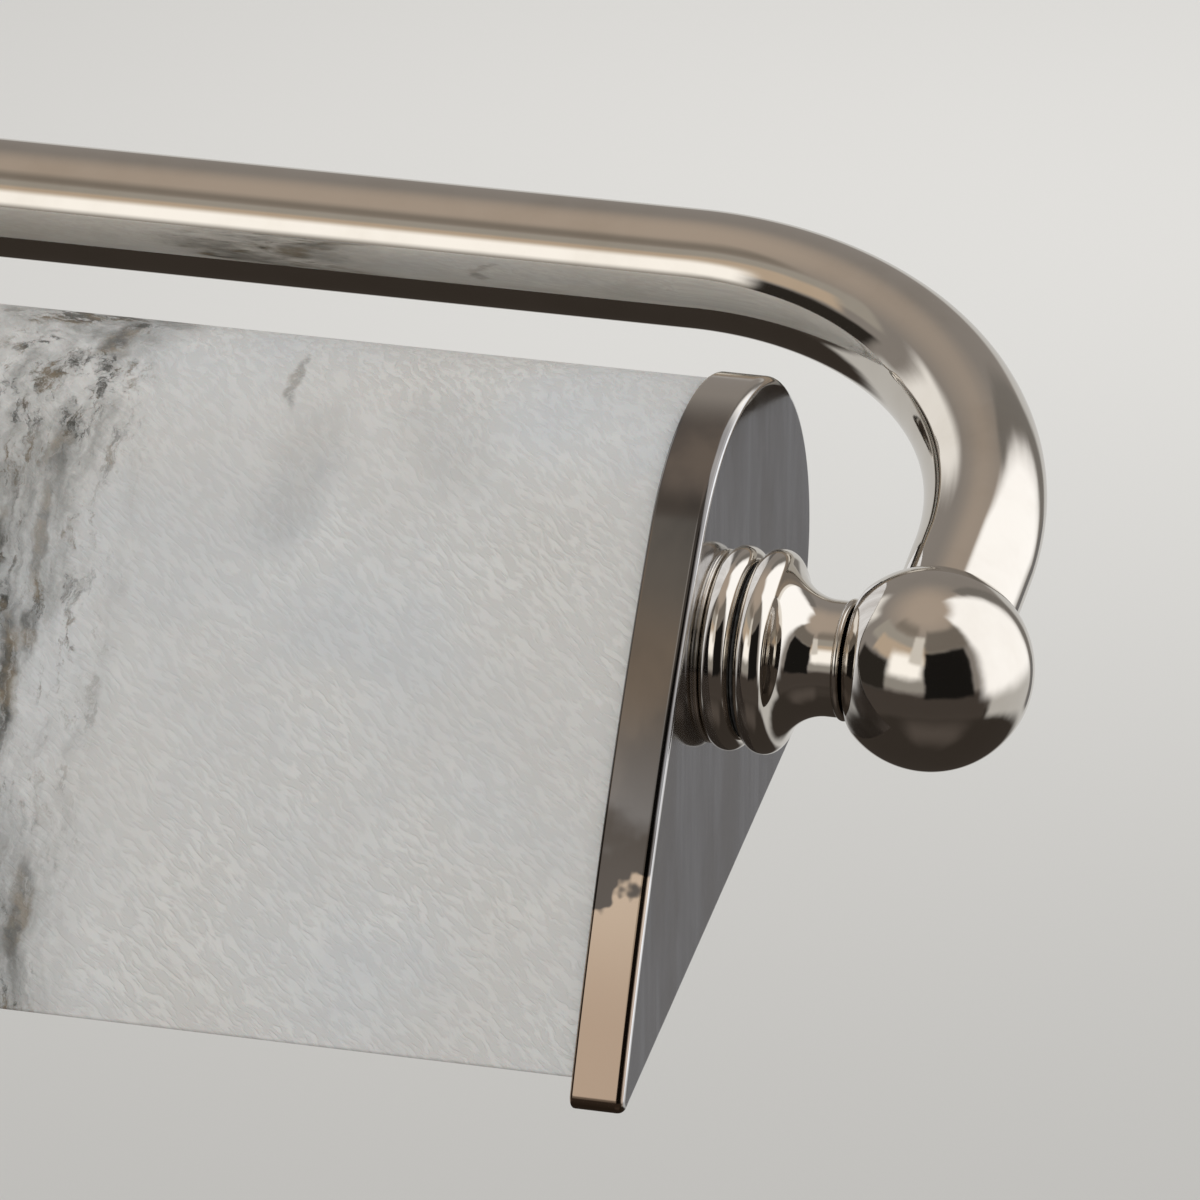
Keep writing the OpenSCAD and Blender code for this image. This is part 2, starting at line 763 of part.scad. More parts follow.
module arm_nut() {
  start = rose_h - rose_wall - arm_washer_t - arm_nut_h;
  color("#c8a24a") off_wall() translate([0, 0, start]) difference() {
    hex(arm_nut_across, arm_nut_h);
    translate([0, 0, -1]) cylinder(h = arm_nut_h + 2, r = tube_r + fit);
  }
}

// Spun cover with a flat rim, a bead and a low dome that ends in a flat face
module wall_rose() {
  centre = rim_h + 1 - sqrt(rose_dome_r ^ 2 - dome_base ^ 2);
  a_base = atan2(rim_h + 1 - centre, dome_base);
  a_face = asin((rose_h - centre) / rose_dome_r);
  inner_r = rose_dome_r - rose_wall;
  a_in_base = acos((dome_base - rose_wall) / inner_r);
  a_in_face = asin((rose_h - rose_wall - centre) / inner_r);
  color("#b3a799") difference() {
    off_wall() turned(concat(
      [[rose_r, 0]],
      arc([rose_r - rose_edge_r, rim_h - rose_edge_r], rose_edge_r, 0, 90, 8),
      arc([dome_base + 1, rim_h], rose_bead_r, 0, 120, 8),
      arc([0, centre], rose_dome_r, a_base, a_face, 16),
      [[tube_r + fit, rose_h], [tube_r + fit, rose_h - rose_wall]],
      arc([0, centre], inner_r, a_in_face, a_in_base, 16),
      [[dome_base - rose_wall, rim_h - rose_wall], [rose_r - rose_wall, rim_h - rose_wall]],
      [[rose_r - rose_wall, 0]]
    ));
    off_wall() both_sides() translate([stud_x, 0, 0]) cylinder(h = 20, r = stud_r + fit);
  }
}

module wall_bracket() {
  half = stud_x + 4;
  color("#b9bcbf") off_wall() difference() {
    translate([-half, -strap_w / 2, 0]) cube([2 * half, strap_w, strap_t]);
    translate([0, 0, -1]) cylinder(h = 5, r = supply_hole_r);
    for (side = [-1, 1]) translate([side * screw_span / 2, 0, -1]) cylinder(h = 5, d = screw_hole_d);
    translate([earth_x, 0, -1]) cylinder(h = 5, r = stud_r + fit);
    both_sides() translate([stud_x, 0, -1]) cylinder(h = 5, r = stud_r + fit);
  }
}

module bracket_studs() {
  color("#9a9da0") off_wall() both_sides() translate([stud_x, 0, 0.2])
    cylinder(h = stud_end, r = stud_r);
}

// Round-topped nuts that clamp the wall plate onto the studs
module cap_nuts() {
  foot_h = 1.4;
  crown_h = 3.1;
  color("#b3a799") off_wall() both_sides() translate([stud_x, 0, rim_h]) difference() {
    union() {
      turned([[0, 0], [cap_nut_r + 0.6, 0], [cap_nut_r + 0.6, 1], [cap_nut_r, foot_h], [0, foot_h]]);
      translate([0, 0, 1]) cylinder(h = crown_h - 0.9, r = cap_nut_r);
      translate([0, 0, crown_h]) intersection() {
        sphere(r = cap_nut_r);
        cylinder(h = cap_nut_r, r = cap_nut_r);
      }
    }
    translate([0, 0, -1]) cylinder(h = stud_end - rim_h + 1.6, r = stud_r + fit);
  }
}

// Three-way terminal block, clipped to the strap's lower edge
module terminal_block() {
  color("#d8d5cb") off_wall() difference() {
    translate([-block_l / 2, block_low, block_lift]) cube([block_l, block_w, block_w]);
    for (x = block_ways) {
      translate([x, way_low, wire_depth - 0.5]) cylinder(h = block_w, r = way_screw_r + 0.2);
      if (x != 0)
        translate([x, block_low - 1, wire_depth]) rotate([-90, 0, 0])
          cylinder(h = block_w + 2, r = wire_hole_r);
    }
  }
}

module terminal_screws() {
  screw_l = 3;
  slot_w = 0.6;
  color("#c8a24a") off_wall() for (x = block_ways)
    translate([x, way_low, wire_depth - 0.3]) difference() {
      cylinder(h = screw_l, r = way_screw_r);
      translate([-2, -slot_w / 2, screw_l - 0.8]) cube([4, slot_w, 2]);
    }
}

module earth_screw() {
  color("#c8a24a") off_wall() translate([earth_x, 0, strap_t])
    pan_screw(stud_r, strap_t - 0.2, 3.5, 2.4);
}

wall_rose();
wall_bracket();
bracket_studs();
cap_nuts();
terminal_block();
terminal_screws();
earth_screw();
arm_tube();
arm_collar();
arm_washer();
arm_nut();
t_boss();
boss_set_screw();
yoke_tube();
yoke_ball_right();
yoke_ball_left();
swivel_neck_right();
swivel_neck_left();
pivot_nipple_right();
pivot_nipple_left();
friction_washers();
spring_washers();
pivot_nuts();
yoke_lead();
end_plate_right();
end_plate_left();
pivot_collar_right();
pivot_collar_left();
stone_hood();
stone_pads();
tie_rods();
lamp_rail();
rail_screws();
holder_bracket_right();
holder_bracket_left();
holder_screws();
lampholder_right();
lampholder_left();
holder_contacts();
lamp_cap_right();
lamp_cap_left();
lamp_glass_right();
lamp_glass_left();
lamp_filament_right();
lamp_filament_left();
shade_lead();
link_lead();
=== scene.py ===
"""Picture light: a veined stone hood between nickel end plates, tilting on swivels in a tube yoke."""

import json
import math
from math import cos, pi, radians, sin

import bmesh
import bpy
from mathutils import Matrix, Vector
from mathutils.geometry import tessellate_polygon


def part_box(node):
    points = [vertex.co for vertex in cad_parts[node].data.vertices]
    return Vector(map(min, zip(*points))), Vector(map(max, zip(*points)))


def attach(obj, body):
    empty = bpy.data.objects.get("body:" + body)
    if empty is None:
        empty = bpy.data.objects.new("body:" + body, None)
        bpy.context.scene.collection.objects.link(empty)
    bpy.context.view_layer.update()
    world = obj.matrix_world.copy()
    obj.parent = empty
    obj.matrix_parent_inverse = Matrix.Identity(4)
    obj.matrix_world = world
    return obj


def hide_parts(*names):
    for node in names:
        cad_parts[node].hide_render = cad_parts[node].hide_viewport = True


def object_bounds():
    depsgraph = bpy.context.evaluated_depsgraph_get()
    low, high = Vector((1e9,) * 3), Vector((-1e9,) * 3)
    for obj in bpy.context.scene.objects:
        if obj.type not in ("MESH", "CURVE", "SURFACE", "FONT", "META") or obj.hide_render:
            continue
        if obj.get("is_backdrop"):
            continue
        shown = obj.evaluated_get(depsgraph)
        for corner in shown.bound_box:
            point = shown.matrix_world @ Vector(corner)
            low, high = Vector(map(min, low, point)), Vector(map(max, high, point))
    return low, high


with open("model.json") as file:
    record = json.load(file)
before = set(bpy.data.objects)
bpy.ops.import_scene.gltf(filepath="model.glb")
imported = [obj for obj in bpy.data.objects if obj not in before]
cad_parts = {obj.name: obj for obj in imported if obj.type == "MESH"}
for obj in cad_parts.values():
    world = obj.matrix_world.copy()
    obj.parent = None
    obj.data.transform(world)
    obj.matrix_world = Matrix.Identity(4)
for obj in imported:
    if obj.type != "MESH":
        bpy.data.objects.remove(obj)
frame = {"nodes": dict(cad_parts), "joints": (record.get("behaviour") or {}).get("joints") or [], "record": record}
cad_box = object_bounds()

# --- the frame's places, in metres ---

MM = 0.001
BALL_R = 10.5 * MM
BOSS_R = 13 * MM
PIVOT = Vector(frame["joints"][0]["pos_m"])
BALL_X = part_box("yoke_ball_right")[1].x - BALL_R
PLATE_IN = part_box("stone_hood")[1].x
PLATE_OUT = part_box("end_plate_right")[1].x
TUBE_R = (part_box("arm_tube")[1].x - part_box("arm_tube")[0].x) / 2
ARM_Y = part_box("t_boss")[0].y + BOSS_R
YOKE_REACH = math.hypot(PIVOT.y - ARM_Y, PIVOT.z)
YOKE_OUT = Vector((0, (ARM_Y - PIVOT.y) / YOKE_REACH, -PIVOT.z / YOKE_REACH))
YOKE_NORMAL = Vector((1, 0, 0)).cross(YOKE_OUT)

# --- the hood's profile as [back, up] from the pivot, in millimetres ---

DOME_R = 21.9
DOME_C = Vector((11.5, 2))
FRONT_R = 254
MOUTH_DROP = 25.8
MOUTH_FRONT = 56.6
MOUTH_ANGLE = radians(16.9)
BACK_SLOPE = radians(14.6)
CORNER_R = 1.4
RIM_PROUD = 0.8
STONE_T = 5
STONE_LIFT = 2.8
PAD_T = 0.8
SEAT_T = 1.6
SEAT_L = 3
SEAT_LIFT = STONE_LIFT + 1
NUT_ROOM_R = 9
SPIGOT_R = 6


def turn(a):
    return Vector((cos(a), sin(a)))


def arc(centre, r, a0, a1, steps):
    return [centre + r * turn(a0 + (a1 - a0) * i / steps) for i in range(steps + 1)]


MOUTH_DIR = turn(MOUTH_ANGLE)
MOUTH_OUT = turn(MOUTH_ANGLE - pi / 2)


def front_centre():
    """The front's large arc, tangent to the dome and through the mouth's front corner: angle, centre."""
    corner = MOUTH_DROP * MOUTH_OUT - MOUTH_FRONT * MOUTH_DIR
    reach = FRONT_R - DOME_R
    inner = (FRONT_R**2 - corner.length_squared - reach**2) / (2 * corner.length * reach)
    tangent = math.atan2(corner.y, corner.x) + 2 * pi - math.acos(inner)
    return tangent, DOME_C - reach * turn(tangent)


TANGENT, FRONT_C = front_centre()


def front_end(d, e):
    """The profile's front corner, moved in by d from the rim and by e from the mouth."""
    q, h = FRONT_C - DOME_C, MOUTH_DROP - e
    rise = h - q.dot(MOUTH_OUT)
    reach = q.dot(MOUTH_DIR) - math.sqrt((FRONT_R - d) ** 2 - rise**2)
    return DOME_C + h * MOUTH_OUT + reach * MOUTH_DIR


def back_end(d, e):
    """The profile's back corner, moved in by d from the rim and by e from the mouth."""
    h, side = MOUTH_DROP - e, turn(-BACK_SLOPE)
    reach = (DOME_R - d - h * MOUTH_OUT.dot(side)) / MOUTH_DIR.dot(side)
    return DOME_C + h * MOUTH_OUT + reach * MOUTH_DIR


FRONT_DIR = (front_end(0, 0) - DOME_C - DOME_R * turn(TANGENT)).normalized()


def front_angle(p):
    return math.atan2(p.y - FRONT_C.y, p.x - FRONT_C.x) % (2 * pi)


def rim(d, e, dome_steps, front_steps):
    """The rim from its back end over the dome and down the front, moved in by d and e."""
    return (
        [back_end(d, e)]
        + arc(DOME_C, DOME_R - d, -BACK_SLOPE, TANGENT, dome_steps)
        + arc(FRONT_C, FRONT_R - d, TANGENT, front_angle(front_end(d, e)), front_steps)[1:]
    )


def plate_outline(d, dome_steps=96, front_steps=32, corner_steps=10):
    """An end plate's closed outline with round lower corners, moved in by d."""
    front, back = front_end(CORNER_R, CORNER_R), back_end(CORNER_R, CORNER_R)
    front_a, mouth_a = front_angle(front), MOUTH_ANGLE + 1.5 * pi
    return (
        arc(DOME_C, DOME_R - d, -BACK_SLOPE, TANGENT, dome_steps)
        + arc(FRONT_C, FRONT_R - d, TANGENT, front_a, front_steps)[1:]
        + arc(front, CORNER_R - d, front_a, mouth_a, corner_steps)[1:]
        + arc(back, CORNER_R - d, mouth_a, 2 * pi - BACK_SLOPE, corner_steps)
    )


def hood_point(x, p):
    """A point of the hood from its place along X, in metres, and its [back, up], in millimetres."""
    return Vector((x, PIVOT.y + p.x * MM, PIVOT.z + p.y * MM))


# --- meshes: each is a list of verts and a list of faces ---

SHARP = radians(32)
SAME_POINT = 1e-7
ON_AXIS = 1e-6


def piece(name, mesh, material, body, node):
    """A closed mesh that rides a body and stands for a CAD node."""
    verts, faces = mesh
    data = bpy.data.meshes.new(name)
    data.from_pydata([tuple(v) for v in verts], [], faces)
    data.materials.append(material)
    obj = bpy.data.objects.new(name, data)
    bpy.context.scene.collection.objects.link(obj)
    tidy_mesh(data)
    flat = obj.modifiers.new("flat_faces", "WEIGHTED_NORMAL")
    flat.keep_sharp = True
    flat.weight = 100
    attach(obj, body)
    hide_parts(node)


def tidy_mesh(data):
    """Merged points, outward faces, smooth shading and sharp creases."""
    bm = bmesh.new()
    bm.from_mesh(data)
    bmesh.ops.remove_doubles(bm, verts=bm.verts, dist=SAME_POINT)
    bmesh.ops.recalc_face_normals(bm, faces=bm.faces)
    bm.to_mesh(data)
    bm.free()
    data.shade_smooth()
    data.set_sharp_from_angle(angle=SHARP)


def add_ring(verts, points):
    """Adds the points to verts and returns their numbers."""
    verts += points
    return list(range(len(verts) - len(points), len(verts)))


def circle(centre, across, other, r, sides):
    """Points around a centre in the plane of two unit directions."""
    angles = [2 * pi * k / sides for k in range(sides)]
    return [centre + r * (cos(a) * across + sin(a) * other) for a in angles]


def loop_faces(rings, closed=True):
    """Faces between successive rings of equal length; a repeated corner makes a triangle."""
    faces = []
    pairs = zip(rings, rings[1:] + rings[:1]) if closed else zip(rings, rings[1:])
    for a, b in pairs:
        for k in range(len(a)):
            m = (k + 1) % len(a)
            corners = list(dict.fromkeys((a[k], a[m], b[m], b[k])))
            if len(corners) > 2:
                faces.append(corners)
    return faces


def end_faces(verts, *rings):
    """Triangles that close a flat end, from its outer ring and any holes in it."""
    numbers = [i for ring in rings for i in ring]
    loops = [[verts[i] for i in ring] for ring in rings]
    return [[numbers[i] for i in corners] for corners in tessellate_polygon(loops)]


def lathe(profile, place, sides):
    """A turned solid: profile is a closed outline of (radius, along) in millimetres."""
    verts, rings = [], []
    for r, along in profile:
        if r < ON_AXIS:
            rings.append([len(verts)] * sides)
            verts.append(place @ Vector((0, 0, along * MM)))
            continue
        ring = circle(Vector((0, 0, along * MM)), Vector((1, 0, 0)), Vector((0, 1, 0)), r * MM, sides)
        rings.append(add_ring(verts, [place @ point for point in ring]))
    return verts, loop_faces(rings)


def along_x(section, x_list):
    """A solid bar with one section of [back, up] points along X, and flat ends."""
    verts, rings = [], []
    for x in x_list:
        rings.append(add_ring(verts, [hood_point(x, p) for p in section]))
    faces = loop_faces(rings, closed=False)
    return verts, faces + end_faces(verts, rings[0]) + end_faces(verts, rings[-1])


def swing(start, end, t):
    """The direction a part t of the way from start to end, both of equal length."""
    bend = start.angle(end)
    return (start * sin((1 - t) * bend) + end * sin(t * bend)) / sin(bend)


def fillet(before, corner, after, r, steps):
    """The arc of radius r that rounds a corner between its two neighbours."""
    to_before, to_after = (before - corner).normalized(), (after - corner).normalized()
    half = to_before.angle(to_after) / 2
    centre = corner + (to_before + to_after).normalized() * r / sin(half)
    start = corner + to_before * r / math.tan(half) - centre
    end = corner + to_after * r / math.tan(half) - centre
    return [centre + swing(start, end, k / steps) for k in range(steps + 1)]


def directions(path):
    """The direction along an open path at each of its points."""
    last = len(path) - 1
    return [(path[min(i + 1, last)] - path[max(i - 1, 0)]).normalized() for i in range(last + 1)]


def join(*parts):
    """One mesh from several closed shells."""
    verts, faces = [], []
    for part_verts, part_faces in parts:
        start = len(verts)
        verts += part_verts
        faces += [[i + start for i in face] for face in part_faces]
    return verts, faces


def mirror(points):
    return [Vector((-p.x, p.y, p.z)) for p in points]


def at_side(side, mesh):
    """A mesh made for the right-hand end, or its mirror image."""
    return mesh if side == "right" else (mirror(mesh[0]), mesh[1])


def both_ends(mesh):
    """The mesh made for the right-hand end, and its mirror image at the left."""
    return join(mesh, at_side("left", mesh))


# --- material nodes ---


class Paint:
    """One procedural material on a Principled shader, in the part's own coordinates in millimetres."""

    def __init__(self, name, **sockets):
        self.material = bpy.data.materials.new(name)
        self.material.use_nodes = True
        self.tree = self.material.node_tree
        self.shader = self.tree.nodes["Principled BSDF"]
        for key, value in sockets.items():
            self.shader.inputs[key.replace("_", " ")].default_value = value
        place = self.tree.nodes.new("ShaderNodeTexCoord")
        self.mm = self.vector("MULTIPLY", place.outputs["Object"], (1 / MM,) * 3)

    def put(self, socket, value):
        """Links a socket to another node's output, or sets its value."""
        if isinstance(value, bpy.types.NodeSocket):
            self.tree.links.new(value, socket)
        else:
            socket.default_value = value

    def node(self, kind, links=None, **settings):
        node = self.tree.nodes.new(kind)
        for key, value in settings.items():
            setattr(node, key, value)
        for key, value in (links or {}).items():
            self.put(node.inputs[key], value)
        return node

    def vector(self, operation, a, b):
        return self.node("ShaderNodeVectorMath", {0: a, 1: b}, operation=operation).outputs[0]

    def math(self, operation, a, b=0.0, c=0.0):
        return self.node("ShaderNodeMath", {0: a, 1: b, 2: c}, operation=operation).outputs[0]

    def axes(self, vector):
        return self.node("ShaderNodeSeparateXYZ", {0: vector}).outputs

    def turned(self, source, rotation, scale):
        """Coordinates turned by Euler angles, then stretched."""
        links = {"Vector": source, "Rotation": rotation, "Scale": scale}
        return self.node("ShaderNodeMapping", links).outputs[0]

    def stretched(self, source, scale):
        return self.turned(source, (0, 0, 0), scale)

    def cloud(self, where, scale, detail, rough):
        links = {"Vector": where, "Scale": scale, "Detail": detail, "Roughness": rough}
        return self.node("ShaderNodeTexNoise", links).outputs

    def noise(self, where, scale, detail=3.0, rough=0.5):
        return self.cloud(where, scale, detail, rough)["Fac"]

    def wander(self, where, scale, amount, detail=3.0, rough=0.5):
        """A random shift of up to half the amount each way."""
        colour = self.cloud(where, scale, detail, rough)["Color"]
        return self.vector("MULTIPLY", self.vector("SUBTRACT", colour, (0.5, 0.5, 0.5)), amount)

    def wave(self, where, scale):
        return self.node("ShaderNodeTexWave", {"Vector": where, "Scale": scale}).outputs["Fac"]

    def ramp(self, value, low, high, to_low=0.0, to_high=1.0, kind="SMOOTHSTEP"):
        links = {"Value": value, "From Min": low, "From Max": high, "To Min": to_low, "To Max": to_high}
        return self.node("ShaderNodeMapRange", links, interpolation_type=kind).outputs["Result"]

    def mix(self, factor, a, b):
        """Two colours mixed; on this node they are inputs 6 and 7, and output 2."""
        return self.node("ShaderNodeMix", {0: factor, 6: a, 7: b}, data_type="RGBA").outputs[2]

    def tinge(self, base, part, factor, colour):
        """Some of a colour over a base: at most the given part of it, where the factor is 1."""
        return self.mix(self.math("MULTIPLY", factor, part), base, colour)

    def bump(self, height, strength, distance, under=None):
        links = {"Height": height, "Strength": strength, "Distance": distance * MM}
        if under is not None:
            links["Normal"] = under
        return self.node("ShaderNodeBump", links).outputs["Normal"]

    def set(self, **links):
        for key, value in links.items():
            self.tree.links.new(value, self.shader.inputs[key.replace("_", " ")])
        return self.material


def rgb(r, g, b):
    return (r, g, b, 1.0)


def metal(name, colour, dark, rough_low, rough_high, grain):
    """Polished or drawn metal: cloudy roughness, a faint tarnish and a fine polishing grain."""
    paint = Paint(name, Metallic=1.0)
    clouds = paint.noise(paint.mm, 0.09, 4, 0.6)
    lines = paint.noise(paint.stretched(paint.mm, (0.25, 3.0, 0.25)), 1.2, 3, 0.6)
    rough = paint.ramp(clouds, 0.35, 0.7, rough_low, rough_high)
    rough = paint.math("ADD", rough, paint.math("MULTIPLY", lines, grain * 0.25))
    tint = paint.mix(paint.ramp(clouds, 0.4, 0.8), colour, dark)
    relief = paint.math("ADD", paint.math("MULTIPLY", lines, grain), paint.noise(paint.mm, 0.5))
    return paint.set(Base_Color=tint, Roughness=rough, Normal=paint.bump(relief, 0.05, 0.02))


def face_coordinates(paint):
    """The hood's own coordinates from the pivot: along it, down its front, and into the hood."""
    from_pivot = paint.vector("SUBTRACT", paint.mm, tuple(PIVOT / MM))
    return paint.turned(from_pivot, (math.atan2(-FRONT_DIR.y, FRONT_DIR.x), 0, 0), (1, 1, 1))


NICKEL = rgb(0.70, 0.665, 0.615)
NICKEL_DARK = rgb(0.64, 0.60, 0.545)

# The end plate's face, cool and streaked, and its rim from the top down at the front: a dim painted reflection, a
# dark painted reflection, then a darkened tan below a ragged border; all of it is painted reflection in the
# metal's colour
FACE_LIGHT, FACE_STREAK, FACE_CLOUD = rgb(0.62, 0.62, 0.63), rgb(0.74, 0.75, 0.77), rgb(0.50, 0.49, 0.49)
RIM_PAINTED_REFLECTION_LIGHT, RIM_PAINTED_REFLECTION_SHADE, RIM_PAINTED_DARK_REFLECTION = rgb(0.24, 0.225, 0.215), rgb(0.165, 0.16, 0.16), rgb(0.085, 0.075, 0.068)
RIM_PAINTED_TAN_TOP, RIM_PAINTED_TAN_LOW = rgb(0.42, 0.335, 0.26), rgb(0.325, 0.245, 0.185)
# Places down the front, and into the hood, where one passes into the next, in millimetres
PAINTED_REFLECTION_TO_DARK = (17, 24)
PAINTED_DARK_TO_TAN = (26.8, 27.6)
PAINTED_TAN_FADE = (24, 42)
FRONT_TO_BACK = (-8, -3)
RAGGED = (-4, 4)


def plate_painted_reflection():
    """Polished end plate with painted reflections: a cool, faintly streaked face and a warmer rim, darkened down
    its front.
    """
    paint = Paint("plate_nickel_painted_reflection", Metallic=1.0)
    face = face_coordinates(paint)
    _, down, inward = paint.axes(face)
    normal = paint.node("ShaderNodeNewGeometry").outputs["True Normal"]
    # Painted reflection: faces across X get a cooler tone with lighter streaks and darker clouds, unlike the rim
    is_face = paint.ramp(paint.math("ABSOLUTE", paint.axes(normal)[0]), 0.75, 0.95)
    streaks = paint.noise(paint.stretched(paint.mm, (1, 1, 0.07)), 0.55, 5, 0.6)
    clouds = paint.noise(paint.stretched(paint.mm, (1, 1, 0.3)), 0.09, 4, 0.55)
    face_painted_reflection = paint.mix(paint.ramp(streaks, 0.35, 0.7), FACE_LIGHT, FACE_STREAK)
    face_painted_reflection = paint.mix(paint.ramp(clouds, 0.40, 0.62), face_painted_reflection, FACE_CLOUD)
    # Painted reflections on the rim's front: dim, then dark, then a darkened tan lower down, fading to plain
    # nickel towards the back
    torn = paint.ramp(paint.noise(face, 0.16), 0.3, 0.7, *RAGGED, kind="LINEAR")
    ragged = paint.math("ADD", down, torn)
    rim_painted_tan = paint.mix(paint.ramp(down, *PAINTED_TAN_FADE), RIM_PAINTED_TAN_TOP, RIM_PAINTED_TAN_LOW)
    rim_painted_dim_reflection = paint.mix(paint.ramp(clouds, 0.35, 0.65), RIM_PAINTED_REFLECTION_LIGHT, RIM_PAINTED_REFLECTION_SHADE)
    rim_painted_dim_reflection = paint.mix(paint.ramp(ragged, *PAINTED_REFLECTION_TO_DARK), rim_painted_dim_reflection, RIM_PAINTED_DARK_REFLECTION)
    warm = paint.mix(paint.ramp(ragged, *PAINTED_DARK_TO_TAN), rim_painted_dim_reflection, rim_painted_tan)
    warm = paint.mix(paint.ramp(inward, *FRONT_TO_BACK), warm, NICKEL)
    grain = paint.noise(paint.stretched(face, (3.0, 0.3, 1)), 1.2, 3, 0.6)
    rough = paint.math("ADD", paint.ramp(clouds, 0.35, 0.7, 0.07, 0.12), paint.math("MULTIPLY", grain, 0.04))
    relief = paint.bump(paint.math("ADD", grain, streaks), 0.05, 0.02)
    return paint.set(Base_Color=paint.mix(is_face, warm, face_painted_reflection), Roughness=rough, Normal=relief)


STONE_LIGHT = rgb(0.62, 0.62, 0.61)
STONE_SHADE = rgb(0.52, 0.53, 0.54)
STONE_WARM = rgb(0.57, 0.55, 0.52)
HAZE = rgb(0.165, 0.165, 0.155)
VEIN_DARK = rgb(0.032, 0.032, 0.026)
VEIN_RUST = rgb(0.15, 0.115, 0.07)
RIPPLE_SHADE = rgb(0.22, 0.21, 0.20)
RIPPLE_ANGLE = radians(53)
# Bands of veins, as (place along the hood, half width), in millimetres
VEIN_BANDS = ((106, 14), (31, 7), (-48, 17), (-131, 9))
# Dark streaks: (place along the hood, place down its front, half width, half length) in millimetres, depth
STREAKS = (
    (98.8, -12, 1.7, 9, 1.0),
    (102.8, 1, 1.2, 7, 0.9),
    (106.5, 13, 1.8, 10, 1.0),
    (108.7, 8, 1.3, 4, 0.8),
    (108.3, -3, 1.1, 8, 0.6),
    (108.5, -11, 1.5, 3, 0.65),
    (109.8, -24, 2.1, 4, 0.8),
    (113.6, -27, 3.6, 1.4, 0.55),
    (111.3, 36, 1.7, 8, 0.75),
    (131, -22, 0.9, 4, 0.5),
    (134, -12, 5, 9, 0.14),
    (148.5, -18, 7, 7, 0.12),
)


def vein_bands(paint, along):
    """How far a point lies inside any of the bands."""
    bands = None
    for centre, width in VEIN_BANDS:
        off = paint.math("ABSOLUTE", paint.math("SUBTRACT", along, centre))
        band = paint.ramp(off, width * 0.25, width, 1, 0)
        bands = band if bands is None else paint.math("MAXIMUM", bands, band)
    return bands


def veins(paint, warped, long, bands):
    """Dark smears and threads inside the bands, and the streaks, with ragged edges and a broken inside."""
    smears = paint.ramp(paint.noise(long, 0.26, 10, 0.76), 0.50, 0.585)
    threads = paint.ramp(paint.noise(long, 0.8, 7, 0.72), 0.57, 0.68, 0, 0.75)
    broken = paint.ramp(paint.noise(warped, 0.075, 5, 0.68), 0.40, 0.54)
    dark = paint.math("MULTIPLY", paint.math("MAXIMUM", smears, threads), broken)
    dark = paint.math("MULTIPLY", dark, bands)
    ragged = paint.ramp(paint.noise(long, 1.1, 6, 0.7), 0.3, 0.52, 0.35, 1.0)
    for x, down, half_w, half_l, depth in STREAKS:
        away = paint.vector("SUBTRACT", warped, (x, down, 0))
        away = paint.vector("MULTIPLY", away, (1 / half_w, 1 / half_l, 0))
        far = paint.node("ShaderNodeVectorMath", {0: away}, operation="LENGTH").outputs["Value"]
        streak = paint.math("MULTIPLY", paint.ramp(far, 0.35, 1.15, depth, 0), ragged)
        dark = paint.math("MAXIMUM", dark, streak)
    return dark


def veined_stone():
    """Off-white stone: soft clouds, ragged dark veins in bands, rusty flecks and a sawn ripple."""
    paint = Paint("veined_stone", IOR=1.5, Subsurface_Weight=0.06, Subsurface_Scale=0.003)
    face = face_coordinates(paint)
    warped = paint.vector("ADD", face, paint.wander(face, 0.08, (9, 14, 9), 6, 0.6))
    long = paint.stretched(warped, (1, 0.2, 1))
    bands = vein_bands(paint, paint.axes(warped)[0])
    dark = veins(paint, warped, long, bands)
    haze = paint.math("MULTIPLY", bands, paint.ramp(paint.noise(long, 0.14, 7, 0.68), 0.36, 0.66))
    fleck = paint.ramp(paint.noise(long, 0.21, 6, 0.7), 0.68, 0.78)
    clouds = paint.noise(warped, 0.05, 5, 0.6)
    warm = paint.ramp(paint.noise(face, 0.03), 0.35, 0.65)
    rust = paint.mix(paint.ramp(paint.noise(warped, 0.25), 0.42, 0.6), VEIN_DARK, VEIN_RUST)
    body = paint.mix(paint.ramp(clouds, 0.3, 0.7), STONE_LIGHT, STONE_SHADE)
    body = paint.tinge(body, 0.6, warm, STONE_WARM)
    body = paint.tinge(body, 0.85, haze, HAZE)
    body = paint.tinge(body, 0.92, dark, rust)
    body = paint.tinge(body, 0.5, fleck, VEIN_RUST)
    # Painted shade: a thin brown line along the cut edge at the mouth, where the arris falls into shadow
    mouth = front_end(RIM_PROUD, STONE_LIFT).dot(FRONT_DIR)
    edge_painted_shade = paint.ramp(paint.axes(face)[1], mouth - 0.45, mouth - 0.15, 0, 0.8)
    body = paint.mix(edge_painted_shade, body, VEIN_RUST)
    # Sawn ripple: short wavy strokes that run down to the right
    wavy = paint.vector("ADD", face, paint.wander(face, 0.22, (2, 2, 0)))
    across = paint.turned(wavy, (0, 0, RIPPLE_ANGLE), (1, 1, 1))
    strokes = paint.noise(paint.stretched(across, (2.1, 0.5, 0.5)), 1.0, 2)
    patches = paint.ramp(clouds, 0.3, 0.6, 1.0, 0.55)
    ripple = paint.math("MULTIPLY", paint.ramp(strokes, 0.40, 0.60), patches)
    body = paint.tinge(body, 0.2, ripple, RIPPLE_SHADE)
    grain = paint.bump(paint.noise(face, 2.4, 4, 0.7), 0.5, 0.06)
    sawn = paint.bump(ripple, 0.8, 0.1, grain)
    pits = paint.bump(paint.math("SUBTRACT", 1.0, dark), 0.5, 0.1, sawn)
    rough = paint.ramp(clouds, 0.3, 0.7, 0.42, 0.55)
    return paint.set(Base_Color=body, Roughness=rough, Normal=pits)


